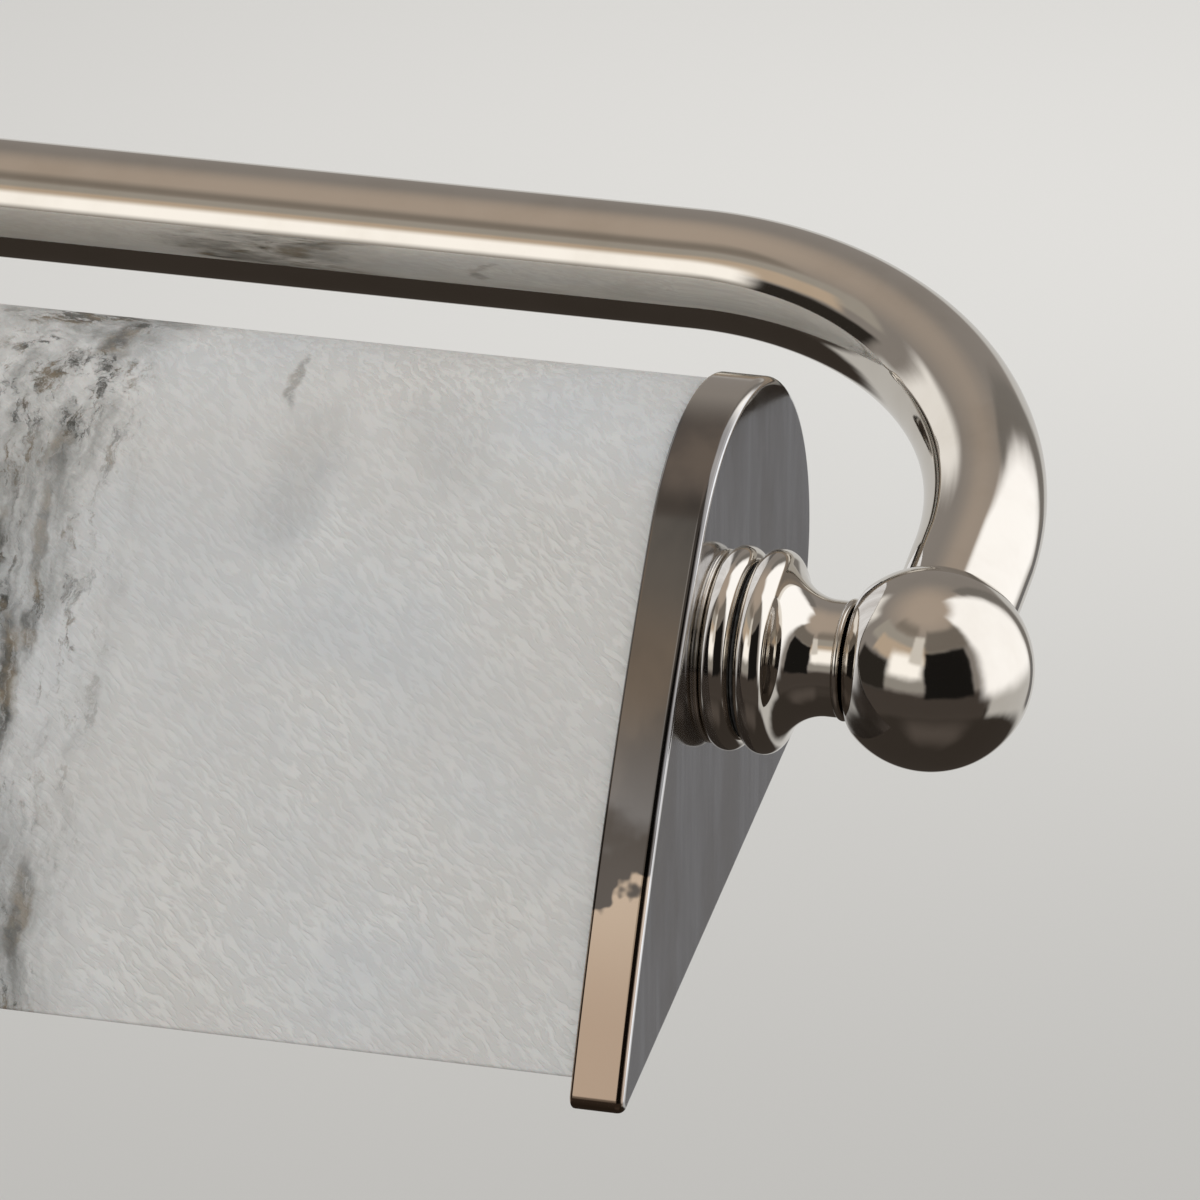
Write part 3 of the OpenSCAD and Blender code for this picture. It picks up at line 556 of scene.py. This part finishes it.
def speckled(name, colour, other, scale, rough, bump, **sockets):
    """Moulded, fired or painted surface with a fine uneven skin."""
    paint = Paint(name, **sockets)
    spots = paint.noise(paint.mm, scale, 4, 0.6)
    fine = paint.noise(paint.mm, scale * 6, 3, 0.6)
    tint = paint.mix(paint.ramp(spots, 0.35, 0.7), colour, other)
    roughness = paint.ramp(fine, 0.3, 0.7, rough * 0.85, min(1, rough * 1.2))
    return paint.set(Base_Color=tint, Roughness=roughness, Normal=paint.bump(fine, bump, 0.05))


def cloth_lead():
    """Braided lead sheath: two sets of slanting threads that cross."""
    paint = Paint("lead_sheath", Roughness=0.8, Sheen_Weight=0.3)
    left, right = [paint.wave(paint.turned(paint.mm, (0, 0, a), (1, 1, 1)), 0.45) for a in (0.8, -0.8)]
    braid = paint.math("MAXIMUM", left, right)
    tint = paint.mix(braid, rgb(0.05, 0.03, 0.018), rgb(0.16, 0.10, 0.06))
    return paint.set(Base_Color=tint, Normal=paint.bump(braid, 0.5, 0.2))


def clear_glass():
    paint = Paint("lamp_glass", Transmission_Weight=1.0, IOR=1.45)
    waves = paint.noise(paint.mm, 0.12, 2)
    tint = paint.mix(waves, rgb(0.98, 0.98, 0.97), rgb(0.95, 0.96, 0.95))
    rough = paint.ramp(waves, 0.3, 0.7, 0.0, 0.03)
    return paint.set(Base_Color=tint, Roughness=rough, Normal=paint.bump(waves, 0.05, 0.3))


def light_strip():
    """The lamps' yellow strips, with a bead for each light."""
    paint = Paint("light_strip", Roughness=0.6)
    beads = paint.wave(paint.mm, 0.2)
    tint = paint.mix(beads, rgb(0.80, 0.50, 0.12), rgb(0.90, 0.66, 0.22))
    return paint.set(Base_Color=tint, Normal=paint.bump(beads, 0.4, 0.2))


nickel = metal("polished_nickel", NICKEL, NICKEL_DARK, 0.03, 0.07, 0.05)
rim_nickel_painted_reflection = plate_painted_reflection()
stone = veined_stone()
brass = metal("brass", rgb(0.72, 0.52, 0.22), rgb(0.55, 0.37, 0.14), 0.16, 0.3, 0.4)
zinc = metal("zinc_steel", rgb(0.62, 0.64, 0.66), rgb(0.48, 0.50, 0.53), 0.22, 0.38, 0.5)
cap_metal = metal("cap_metal", rgb(0.66, 0.65, 0.62), rgb(0.52, 0.51, 0.49), 0.18, 0.32, 0.3)
CREAM, CREAM_SHADE = rgb(0.80, 0.79, 0.75), rgb(0.72, 0.71, 0.67)
enamel = speckled("white_enamel", CREAM, CREAM_SHADE, 0.4, 0.32, 0.08, Coat_Weight=0.2)
FIRED, FIRED_SHADE = rgb(0.78, 0.76, 0.70), rgb(0.70, 0.68, 0.61)
ceramic = speckled("lampholder_ceramic", FIRED, FIRED_SHADE, 0.25, 0.22, 0.06, Coat_Weight=0.4)
plastic = speckled("terminal_plastic", rgb(0.66, 0.64, 0.58), rgb(0.58, 0.56, 0.50), 0.6, 0.45, 0.15)
rubber = speckled("pad_rubber", rgb(0.022, 0.022, 0.022), rgb(0.05, 0.05, 0.05), 0.8, 0.75, 0.3)
sheath = cloth_lead()

FINISHES = {
    "polished_nickel": nickel,
    "veined_stone": stone,
    "zinc_steel": zinc,
    "brass": brass,
    "white_enamel": enamel,
    "lampholder_ceramic": ceramic,
    "cap_metal": cap_metal,
    "lamp_glass": clear_glass(),
    "light_strip": light_strip(),
    "lead_sheath": sheath,
    "terminal_plastic": plastic,
    "pad_rubber": rubber,
}

for entry in frame["record"]["subparts"]:
    for place in frame["nodes"][entry["node"]].material_slots:
        place.link = "OBJECT"
        place.material = FINISHES[entry["material_slot"]]

# --- yoke, in metres ---

BEND_R = 41 * MM
BEND_STEPS = 64
LEG_FOOT = 3.2 * MM
TUBE_WALL = 1 * MM
TUBE_SIDES = 64


def yoke_point(x, reach):
    """A point in the yoke's plane: along X, and out from the pivot axis towards the arm."""
    return PIVOT + Vector((x, 0, 0)) + YOKE_OUT * reach


def yoke_path():
    """The yoke's centre line from the right foot, over both bends, to the left foot."""
    bend = arc(Vector((BALL_X - BEND_R, YOKE_REACH - BEND_R)), BEND_R, 0, pi / 2, BEND_STEPS)
    right = [yoke_point(BALL_X, LEG_FOOT)] + [yoke_point(*place) for place in bend]
    return right + mirror(right)[::-1]


def yoke_tube():
    """The round tube along the yoke's path, which lies in one plane."""
    verts, rings, path = [], [], yoke_path()
    stations = list(zip(path, directions(path)))
    for r, order in ((TUBE_R, stations), (TUBE_R - TUBE_WALL, stations[::-1])):
        for point, along in order:
            side = along.cross(YOKE_NORMAL).normalized()
            rings.append(add_ring(verts, circle(point, YOKE_NORMAL, side, r, TUBE_SIDES)))
    return verts, loop_faces(rings)


piece("yoke_bar", yoke_tube(), nickel, "fixture", "yoke_tube")

# --- swivels: stations from the ball's centre towards the hood, in millimetres ---

BEAD_R = 10.55
NECK_R = 6
NIPPLE_R = 4
NIPPLE_START = TUBE_R / MM + 0.2
SHOULDER_R = 3
SHOULDER_START, SHOULDER_END = 40, 58
BALL_END, LIP_W, LIP_L = 8.1, 0.25, 0.12
RING_PROUD = 0.3
FLARE_R = 5
RING_START, RING_END = 8.2, 9.0
NECK_BEAD_MID, NECK_BEAD_W, NECK_END = 16.7, 1.75, 18.45
COLLAR_START, COLLAR_BEAD_MID, COLLAR_BEAD_W = 18.75, 20.4, 1.6
COLLAR_BORE_R = NIPPLE_R + 0.05
PLATE_FACE, SPIGOT_END = 22.3, 27.9
FLANGE_R, FLANGE_EDGE, FLANGE_EDGE_MID = 9.95, 0.15, 22.1
WASHER_R, WASHER_GAP = 9.0, 0.02
TURNED_SIDES, WASHER_SIDES = 128, 96
SWIVEL = Matrix.Translation(PIVOT + Vector((BALL_X, 0, 0))) @ Matrix.Rotation(-pi / 2, 4, "Y")


def polar(centre, r, a0, a1, steps):
    """An arc between two angles in degrees."""
    return arc(Vector(centre), r, radians(a0), radians(a1), steps)


def vectors(*points):
    return [Vector(point) for point in points]


def ball_profile():
    """A ball that draws in to its neck, bored for the nipple."""
    ball, lip_r = BALL_R / MM, NECK_R - RING_PROUD
    shoulder = (ball - SHOULDER_R) * turn(radians(SHOULDER_START))
    return (
        vectors((0, -ball))
        + polar((0, 0), ball, -89, SHOULDER_START, 64)
        + polar(shoulder, SHOULDER_R, SHOULDER_START + 2, SHOULDER_END, 8)
        + vectors((lip_r + LIP_W, BALL_END - LIP_L), (lip_r, BALL_END))
        + vectors((NIPPLE_R, BALL_END), (NIPPLE_R, NIPPLE_START), (0, NIPPLE_START))
    )


def neck_profile():
    """Fine ring at the ball, neck, and a trumpet whose arc runs into a round bead."""
    ring_w = (RING_END - RING_START) / 2
    bead_r = BEAD_R - NECK_BEAD_W
    reach = FLARE_R + NECK_BEAD_W
    flare = math.degrees(math.acos((NECK_R + FLARE_R - bead_r) / reach))
    flare_mid = NECK_BEAD_MID - reach * sin(radians(flare))
    return (
        vectors((NIPPLE_R, RING_START), (NECK_R - RING_PROUD, RING_START))
        + polar((NECK_R + RING_PROUD - ring_w, RING_START + ring_w), ring_w, -80, 80, 12)
        + vectors((NECK_R, RING_END))
        + polar((NECK_R + FLARE_R, flare_mid), FLARE_R, 180, 180 - flare, 32)
        + polar((bead_r, NECK_BEAD_MID), NECK_BEAD_W, 3 - flare, 90, 40)
        + vectors((NIPPLE_R, NECK_END))
    )


def collar_profile():
    """Bead and thin flange of the collar, and the spigot that goes into the end plate."""
    bead_r = BEAD_R - COLLAR_BEAD_W
    return (
        vectors((COLLAR_BORE_R, COLLAR_START), (bead_r, COLLAR_START))
        + polar((bead_r, COLLAR_BEAD_MID), COLLAR_BEAD_W, -88, 74, 32)
        + polar((FLANGE_R - FLANGE_EDGE, FLANGE_EDGE_MID), FLANGE_EDGE, -80, 60, 6)
        + vectors((FLANGE_R, PLATE_FACE), (SPIGOT_R, PLATE_FACE))
        + vectors((SPIGOT_R, SPIGOT_END), (COLLAR_BORE_R, SPIGOT_END))
    )


def washer_profile():
    """Fibre washer in the gap between neck and collar, with a slightly bulging rim."""
    mid, half = (NECK_END + COLLAR_START) / 2, (COLLAR_START - NECK_END) / 2 - WASHER_GAP
    return polar((WASHER_R, mid), half, -90, 90, 8) + vectors((NIPPLE_R, mid + half), (NIPPLE_R, mid - half))


TURNED_PIECES = (
    ("ball_end_", ball_profile, "fixture", "yoke_ball_"),
    ("neck_", neck_profile, "fixture", "swivel_neck_"),
    ("collar_", collar_profile, "hood", "pivot_collar_"),
)
for side in ("right", "left"):
    for name, profile, body, node in TURNED_PIECES:
        mesh = at_side(side, lathe(profile(), SWIVEL, TURNED_SIDES))
        piece(name + side, mesh, nickel, body, node + side)

# --- hood: end plates, stone and pads ---

OUTER_EDGE, INNER_EDGE, PLATE_EDGE_STEPS = 0.9, 0.45, 6
BORE_SIDES = 64
SEAT_START = PLATE_IN - SEAT_L * MM
# The ribs end a hair short of the plate, so that no two faces lie in one plane
SEAT_END = PLATE_IN - 0.001 * MM
STONE_EDGE, STONE_EDGE_STEPS = 0.35, 5
STONE_STEPS = 96
# Steps over the dome and down the front
STONE_RIM_STEPS, RIB_RIM_STEPS = (64, 32), (48, 48)
# A pad's two ends and the width of its round edges, in from the plate, and its gap to stone and rib
PAD_START, PAD_END, PAD_EDGE = 0.05, 3.93, 0.194
PAD_GAP = 0.03


def plate_mesh():
    """An end plate with rounded edges and the bore for the collar's spigot."""
    bends = [pi / 2 * k / PLATE_EDGE_STEPS for k in range(PLATE_EDGE_STEPS + 1)]
    levels = [(INNER_EDGE * (1 - sin(a)), PLATE_IN + INNER_EDGE * (1 - cos(a)) * MM) for a in bends]
    levels += [(OUTER_EDGE * (1 - cos(a)), PLATE_OUT - OUTER_EDGE * (1 - sin(a)) * MM) for a in bends]
    verts, bores = [], []
    rings = [add_ring(verts, [hood_point(x, p) for p in plate_outline(d)]) for d, x in levels]
    faces = loop_faces(rings, closed=False)
    for x, ring in ((PLATE_IN, rings[0]), (PLATE_OUT, rings[-1])):
        bore = [SPIGOT_R * turn(-2 * pi * k / BORE_SIDES) for k in range(BORE_SIDES)]
        bores.append(add_ring(verts, [hood_point(x, p) for p in bore]))
        faces += end_faces(verts, ring, bores[-1])
    return verts, faces + loop_faces(bores, closed=False)


def clear_runs(d_out, d_in):
    """Pairs of points on two lines inside the rim, in runs that leave room for the swivel's nut."""
    runs, run = [], []
    for pair in zip(*(rim(d, SEAT_LIFT, *RIB_RIM_STEPS) for d in (d_out, d_in))):
        if min(p.length for p in pair) > NUT_ROOM_R:
            run.append(pair)
        elif run:
            runs.append(run)
            run = []
    return runs + [run] if run else runs


def seat_ribs():
    """The ribs behind the end plate that the stone and its pads rest on."""
    depth = RIM_PROUD + STONE_T + PAD_T
    for run in clear_runs(depth, depth + SEAT_T):
        section = [outer for outer, _ in run] + [inner for _, inner in reversed(run)]
        yield along_x(section, (SEAT_START, SEAT_END))


def pad_shells():
    """Rubber pads with round edges between the stone and the ribs."""
    depth = RIM_PROUD + STONE_T
    near, far = (PAD_START, PAD_START + PAD_EDGE), (PAD_END, PAD_END - PAD_EDGE)
    section = ((near[0], 0.3), (near[1], 0), (far[1], 0), (far[0], 0.3))
    section += ((far[0], 0.7), (far[1], 1), (near[1], 1), (near[0], 0.7))
    for run in clear_runs(depth + PAD_GAP, depth + PAD_T - PAD_GAP):
        verts, rings = [], []
        for outer, inner in run:
            ring = [hood_point(PLATE_IN - x * MM, outer.lerp(inner, t)) for x, t in section]
            rings.append(add_ring(verts, ring))
        yield verts, loop_faces(rings, closed=False) + [rings[0], rings[-1]]


def stone_shell():
    """The stone: a shell that follows the rim, along the whole hood, with rounded long edges."""
    outer = rim(RIM_PROUD, STONE_LIFT, *STONE_RIM_STEPS)
    section = outer + rim(RIM_PROUD + STONE_T, STONE_LIFT, *STONE_RIM_STEPS)[::-1]
    rounded = []
    for i, p in enumerate(section):
        if i in (0, len(outer) - 1, len(outer), len(section) - 1):
            after = section[(i + 1) % len(section)]
            rounded += fillet(section[i - 1], p, after, STONE_EDGE, STONE_EDGE_STEPS)
        else:
            rounded.append(p)
    return along_x(rounded, [PLATE_IN * (2 * i / STONE_STEPS - 1) for i in range(STONE_STEPS + 1)])


for side in ("right", "left"):
    mesh = at_side(side, join(plate_mesh(), *seat_ribs()))
    piece("end_cap_" + side, mesh, rim_nickel_painted_reflection, "hood", "end_plate_" + side)
piece("stone_shade", stone_shell(), stone, "hood", "stone_hood")

# --- leads, in metres ---

LEAD_R = 1.7 * MM
LEAD_SIDES = 24
LEAD_STEPS = 20
LEAD_BEND = 5 * MM
# Where the supply lead leaves the top of the terminal block, behind the wall plate
WIRE_Y, BLOCK_TOP_Z = -6.5 * MM, -12.9 * MM
# Where the supply lead ends, past the swivel's nipple, and the hood's own lead goes on
NIPPLE_X = 163.2 * MM
NIPPLE_STRAIGHT = 5 * MM
BRACKET_X = PLATE_IN - 28 * MM
# The hood's lead drops below the pivot axis in a half plane at this angle
SHADE_ANGLE, SHADE_DROP = radians(-77), 11.2 * MM
SHADE_X = NIPPLE_X - NIPPLE_STRAIGHT - SHADE_DROP / 2
# The lead between the lampholders rises from its entries at this angle and runs under the rail
LINK_ANGLE, LINK_RISE, LINK_TURN, LINK_STRAIGHT = radians(52), 17 * MM, 4.5 * MM, 6 * MM
LINK_ENTRY_Y, LINK_ENTRY_Z = 6 * MM, -6 * MM
LINK_X = BRACKET_X + LINK_STRAIGHT + LINK_TURN


def bent_path(stops):
    """An open path through (point, bend radius) stops."""
    points = [point for point, _ in stops]
    path = [points[0]]
    for before, (point, r), after in zip(points, stops[1:], points[2:]):
        path += fillet(before, point, after, r, LEAD_STEPS)
    return path + [points[-1]]


def lead(name, stops, body, node):
    """A braided lead: a round bar whose frame turns as little as it can along the path."""
    path = bent_path(stops)
    verts, rings, side = [], [], (path[1] - path[0]).orthogonal()
    for point, along in zip(path, directions(path)):
        side = (side - along * side.dot(along)).normalized()
        rings.append(add_ring(verts, circle(point, side, along.cross(side), LEAD_R, LEAD_SIDES)))
    faces = loop_faces(rings, closed=False) + [rings[0], rings[-1]]
    piece(name, (verts, faces), sheath, body, node)


def shade_point(x, out):
    return PIVOT + Vector((x, out * cos(SHADE_ANGLE), out * sin(SHADE_ANGLE)))


def link_point(x, out):
    y, z = LINK_ENTRY_Y + out * cos(LINK_ANGLE), LINK_ENTRY_Z + out * sin(LINK_ANGLE)
    return PIVOT + Vector((x, y, z))


SUPPLY_STOPS = [
    (Vector((0, WIRE_Y, BLOCK_TOP_Z)), 0),
    (Vector((0, WIRE_Y, 0)), LEAD_BEND),
    (Vector((0, ARM_Y, 0)), LEAD_BEND),
    (yoke_point(BALL_X, YOKE_REACH), BEND_R),
    (yoke_point(BALL_X, 0), LEAD_BEND),
    (yoke_point(NIPPLE_X, 0), 0),
]
SHADE_STOPS = [
    (shade_point(NIPPLE_X, 0), 0),
    (shade_point(SHADE_X, 0), SHADE_DROP / 2),
    (shade_point(SHADE_X, SHADE_DROP), SHADE_DROP / 2),
    (shade_point(BRACKET_X, SHADE_DROP), 0),
]
LINK_STOPS = [
    (link_point(BRACKET_X, 0), 0),
    (link_point(LINK_X, 0), LINK_TURN),
    (link_point(LINK_X, LINK_RISE), LINK_TURN),
    (link_point(-LINK_X, LINK_RISE), LINK_TURN),
    (link_point(-LINK_X, 0), LINK_TURN),
    (link_point(-BRACKET_X, 0), 0),
]
lead("supply_lead", SUPPLY_STOPS, "fixture", "yoke_lead")
lead("hood_lead", SHADE_STOPS, "hood", "shade_lead")
lead("lamp_link_lead", LINK_STOPS, "hood", "link_lead")

# --- washers and pads ---

washers = both_ends(lathe(washer_profile(), SWIVEL, WASHER_SIDES))
piece("fibre_washers", washers, rubber, "fixture", "friction_washers")
piece("rubber_pads", both_ends(join(*pad_shells())), rubber, "hood", "stone_pads")

# --- camera: its direction from the right ball, and how far it stands right, up and back of it ---

CAMERA_AZIMUTH, CAMERA_ELEVATION = 17, 21
CAMERA_RIGHT, CAMERA_UP, CAMERA_BACK = -0.0336, 0.0070, 1.32
CAMERA_LENS = 390.5


def outward(azimuth, elevation):
    """A direction from the object, in degrees: azimuth 0 is in front, 90 at the right-hand end."""
    a, e = radians(azimuth), radians(elevation)
    return Vector((sin(a) * cos(e), -cos(a) * cos(e), sin(e)))


def place_facing(obj, location, away):
    """Puts an object at a place, looking back along the direction it stands in."""
    obj.location = location
    obj.rotation_mode = "QUATERNION"
    obj.rotation_quaternion = (-away).to_track_quat("-Z", "Y")


back = outward(CAMERA_AZIMUTH, CAMERA_ELEVATION)
right = outward(CAMERA_AZIMUTH + 90, 0)
up = back.cross(right)
camera = bpy.data.objects.new("camera", bpy.data.cameras.new("camera"))
bpy.context.scene.collection.objects.link(camera)
camera.data.sensor_width = 36
camera.data.lens = CAMERA_LENS
camera.data.clip_end = 100
ball_centre = PIVOT + Vector((BALL_X, 0, 0))
place_facing(camera, ball_centre + right * CAMERA_RIGHT + up * CAMERA_UP + back * CAMERA_BACK, back)
bpy.context.scene.camera = camera

# --- floor, studio and light ---

FLOOR_Z = -6
FLOOR_R = 60
FLOOR_SIDES = 96
STUDIO_R = 3.5
STUDIO_STEPS, STUDIO_SIDES = 24, 48
# What the polished metal sees: the room's tones from the top down, and where they pass over, in degrees
ZENITH = rgb(0.50, 0.42, 0.35)
HORIZON = rgb(0.30, 0.275, 0.255)
BELOW = rgb(0.045, 0.037, 0.031)
HORIZON_TO_ZENITH = (40, 78)
HORIZON_TO_BELOW = (-6, -30)
# Each panel in it: (azimuth, elevation, half width, half height, softness) in degrees, and a colour
PANELS = {
    "upper ring": ((-33, 60, 26, 6, 14), (0.26, 0.225, 0.19)),
    "far room": ((180, -14, 95, 20, 8), (0.62, 0.61, 0.59)),
    "front wall": ((-20, 44, 60, 10, 6), (0.42, 0.39, 0.345)),
    "front low": ((-30, 4, 40, 9, 4), (0.36, 0.34, 0.31)),
    "front floor": ((0, -22, 80, 14, 8), (0.07, 0.058, 0.05)),
    "front rug": ((25, -55, 40, 14, 28), (0.105, 0.088, 0.077)),
    "tan screen": ((-24, 34, 40, 9, 6), (0.60, 0.485, 0.37)),
    "left dark": ((-57, 6, 22, 16, 6), (0.03, 0.026, 0.022)),
    "right wall": ((48, 50, 38, 12, 8), (0.21, 0.185, 0.16)),
    "dark corner": ((38, 13, 27, 25, 5), (0.012, 0.011, 0.010)),
    "key window": ((-13, 21, 21, 12.5, 11), (1.35, 1.32, 1.27)),
    "key top": ((-1, 40, 9, 15, 6), (0.80, 0.76, 0.70)),
    "right window": ((114, 27, 38, 42, 14), (1.4, 1.4, 1.41)),
    "right post": ((160, 12, 6, 40, 6), (0.22, 0.205, 0.19)),
    "left window": ((-112, 22, 16, 20, 12), (1.05, 1.03, 1.0)),
    "dark wall": ((163, -21, 5, 7, 2), (0.19, 0.185, 0.185)),
}
# Area lights: (azimuth, elevation) in degrees, distance, (width, height) in metres, and radiance
SOFTBOXES = {
    "key_window": ((-11, 24), 1.5, (1.1, 0.9), 2.7),
    "right_window": ((112, 22), 1.6, (2.0, 2.2), 1.3),
    "left_window": ((-100, 25), 2.0, (1.2, 1.6), 0.8),
}
FLOOR_LAMP_PLACE, FLOOR_LAMP_SIZE, FLOOR_LAMP_RADIANCE = (-4.0, 16.6, -2), (2.2, 2.2), 5.4
WORLD_LIGHT = rgb(0.61, 0.605, 0.59)


def stage_mesh(name, verts, faces, material):
    """An object of the room around the part."""
    mesh = bpy.data.meshes.new(name)
    mesh.from_pydata(verts, [], faces)
    mesh.materials.append(material)
    obj = bpy.data.objects.new(name, mesh)
    bpy.context.scene.collection.objects.link(obj)
    obj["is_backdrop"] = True
    return obj


def plain_floor():
    """The backdrop: a wide disc far below."""
    paint = Paint("floor_paint", Roughness=0.9)
    tint = paint.mix(paint.noise(paint.mm, 0.0004, 2), rgb(0.71, 0.70, 0.685), rgb(0.69, 0.685, 0.67))
    centre = Vector((0, 0, FLOOR_Z))
    points = circle(centre, Vector((1, 0, 0)), Vector((0, 1, 0)), FLOOR_R, FLOOR_SIDES)
    stage_mesh("floor", points, [list(range(FLOOR_SIDES))], paint.set(Base_Color=tint))


def studio_paint():
    """Glow by direction: the room's tones with soft-edged, slightly uneven panels in them."""
    paint = Paint("studio_paint")
    place = paint.node("ShaderNodeTexCoord").outputs["Object"]
    uneven = paint.vector("ADD", place, paint.wander(place, 0.9, (0.4, 0.4, 0.4)))
    ray = paint.node("ShaderNodeVectorMath", {0: uneven}, operation="NORMALIZE").outputs[0]
    x, y, z = paint.axes(ray)
    elevation = paint.math("DEGREES", paint.math("ARCSINE", z))
    azimuth = paint.math("DEGREES", paint.math("ARCTAN2", x, paint.math("MULTIPLY", y, -1.0)))
    colour = paint.mix(paint.ramp(elevation, *HORIZON_TO_ZENITH), HORIZON, ZENITH)
    colour = paint.mix(paint.ramp(elevation, *HORIZON_TO_BELOW), colour, BELOW)
    for (centre, height, half_w, half_h, soft), tint in PANELS.values():
        around = paint.math("WRAP", paint.math("SUBTRACT", azimuth, centre), 180.0, -180.0)
        side = paint.math("ABSOLUTE", around)
        rise = paint.math("ABSOLUTE", paint.math("SUBTRACT", elevation, height))
        across = paint.ramp(side, half_w - soft / 2, half_w + soft / 2, 1, 0)
        upright = paint.ramp(rise, half_h - soft / 2, half_h + soft / 2, 1, 0)
        colour = paint.mix(paint.math("MULTIPLY", across, upright), colour, rgb(*tint))
    glow = paint.node("ShaderNodeEmission", {"Color": colour})
    paint.put(paint.tree.nodes["Material Output"].inputs["Surface"], glow.outputs[0])
    paint.tree.nodes.remove(paint.shader)
    paint.material.cycles.emission_sampling = "NONE"
    return paint.material


def studio_dome():
    """A dome around the object that only its polished metal sees."""
    turns = [pi * k / STUDIO_STEPS for k in range(STUDIO_STEPS + 1)]
    outline = [(STUDIO_R * sin(a), -STUDIO_R * cos(a)) for a in turns]
    verts, faces = lathe(outline, Matrix.Scale(1 / MM, 4), STUDIO_SIDES)
    dome = stage_mesh("studio_dome", verts, faces, studio_paint())
    dome.location = PIVOT
    dome.visible_camera = dome.visible_diffuse = dome.visible_shadow = dome.visible_transmission = False


def area_light(name, size, radiance):
    """A lamp that lights the scene but isn't seen itself."""
    lamp = bpy.data.lights.new(name, "AREA")
    lamp.shape = "RECTANGLE"
    lamp.size, lamp.size_y = size
    lamp.energy = radiance * pi * lamp.size * lamp.size_y
    obj = bpy.data.objects.new(name, lamp)
    bpy.context.scene.collection.objects.link(obj)
    obj.visible_camera = obj.visible_glossy = False
    return obj


plain_floor()
studio_dome()
for name, (direction, distance, size, radiance) in SOFTBOXES.items():
    away = outward(*direction)
    place_facing(area_light(name, size, radiance), PIVOT + away * distance, away)
area_light("floor_lamp", FLOOR_LAMP_SIZE, FLOOR_LAMP_RADIANCE).location = FLOOR_LAMP_PLACE

world = bpy.data.worlds.new("studio")
world.use_nodes = True
world.node_tree.nodes["Background"].inputs["Color"].default_value = WORLD_LIGHT
bpy.context.scene.world = world
bpy.context.scene.view_settings.view_transform = "Standard"

boxes = {"cad": cad_box, "visual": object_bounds()}
{name: [list(corner) for corner in box] for name, box in boxes.items()}
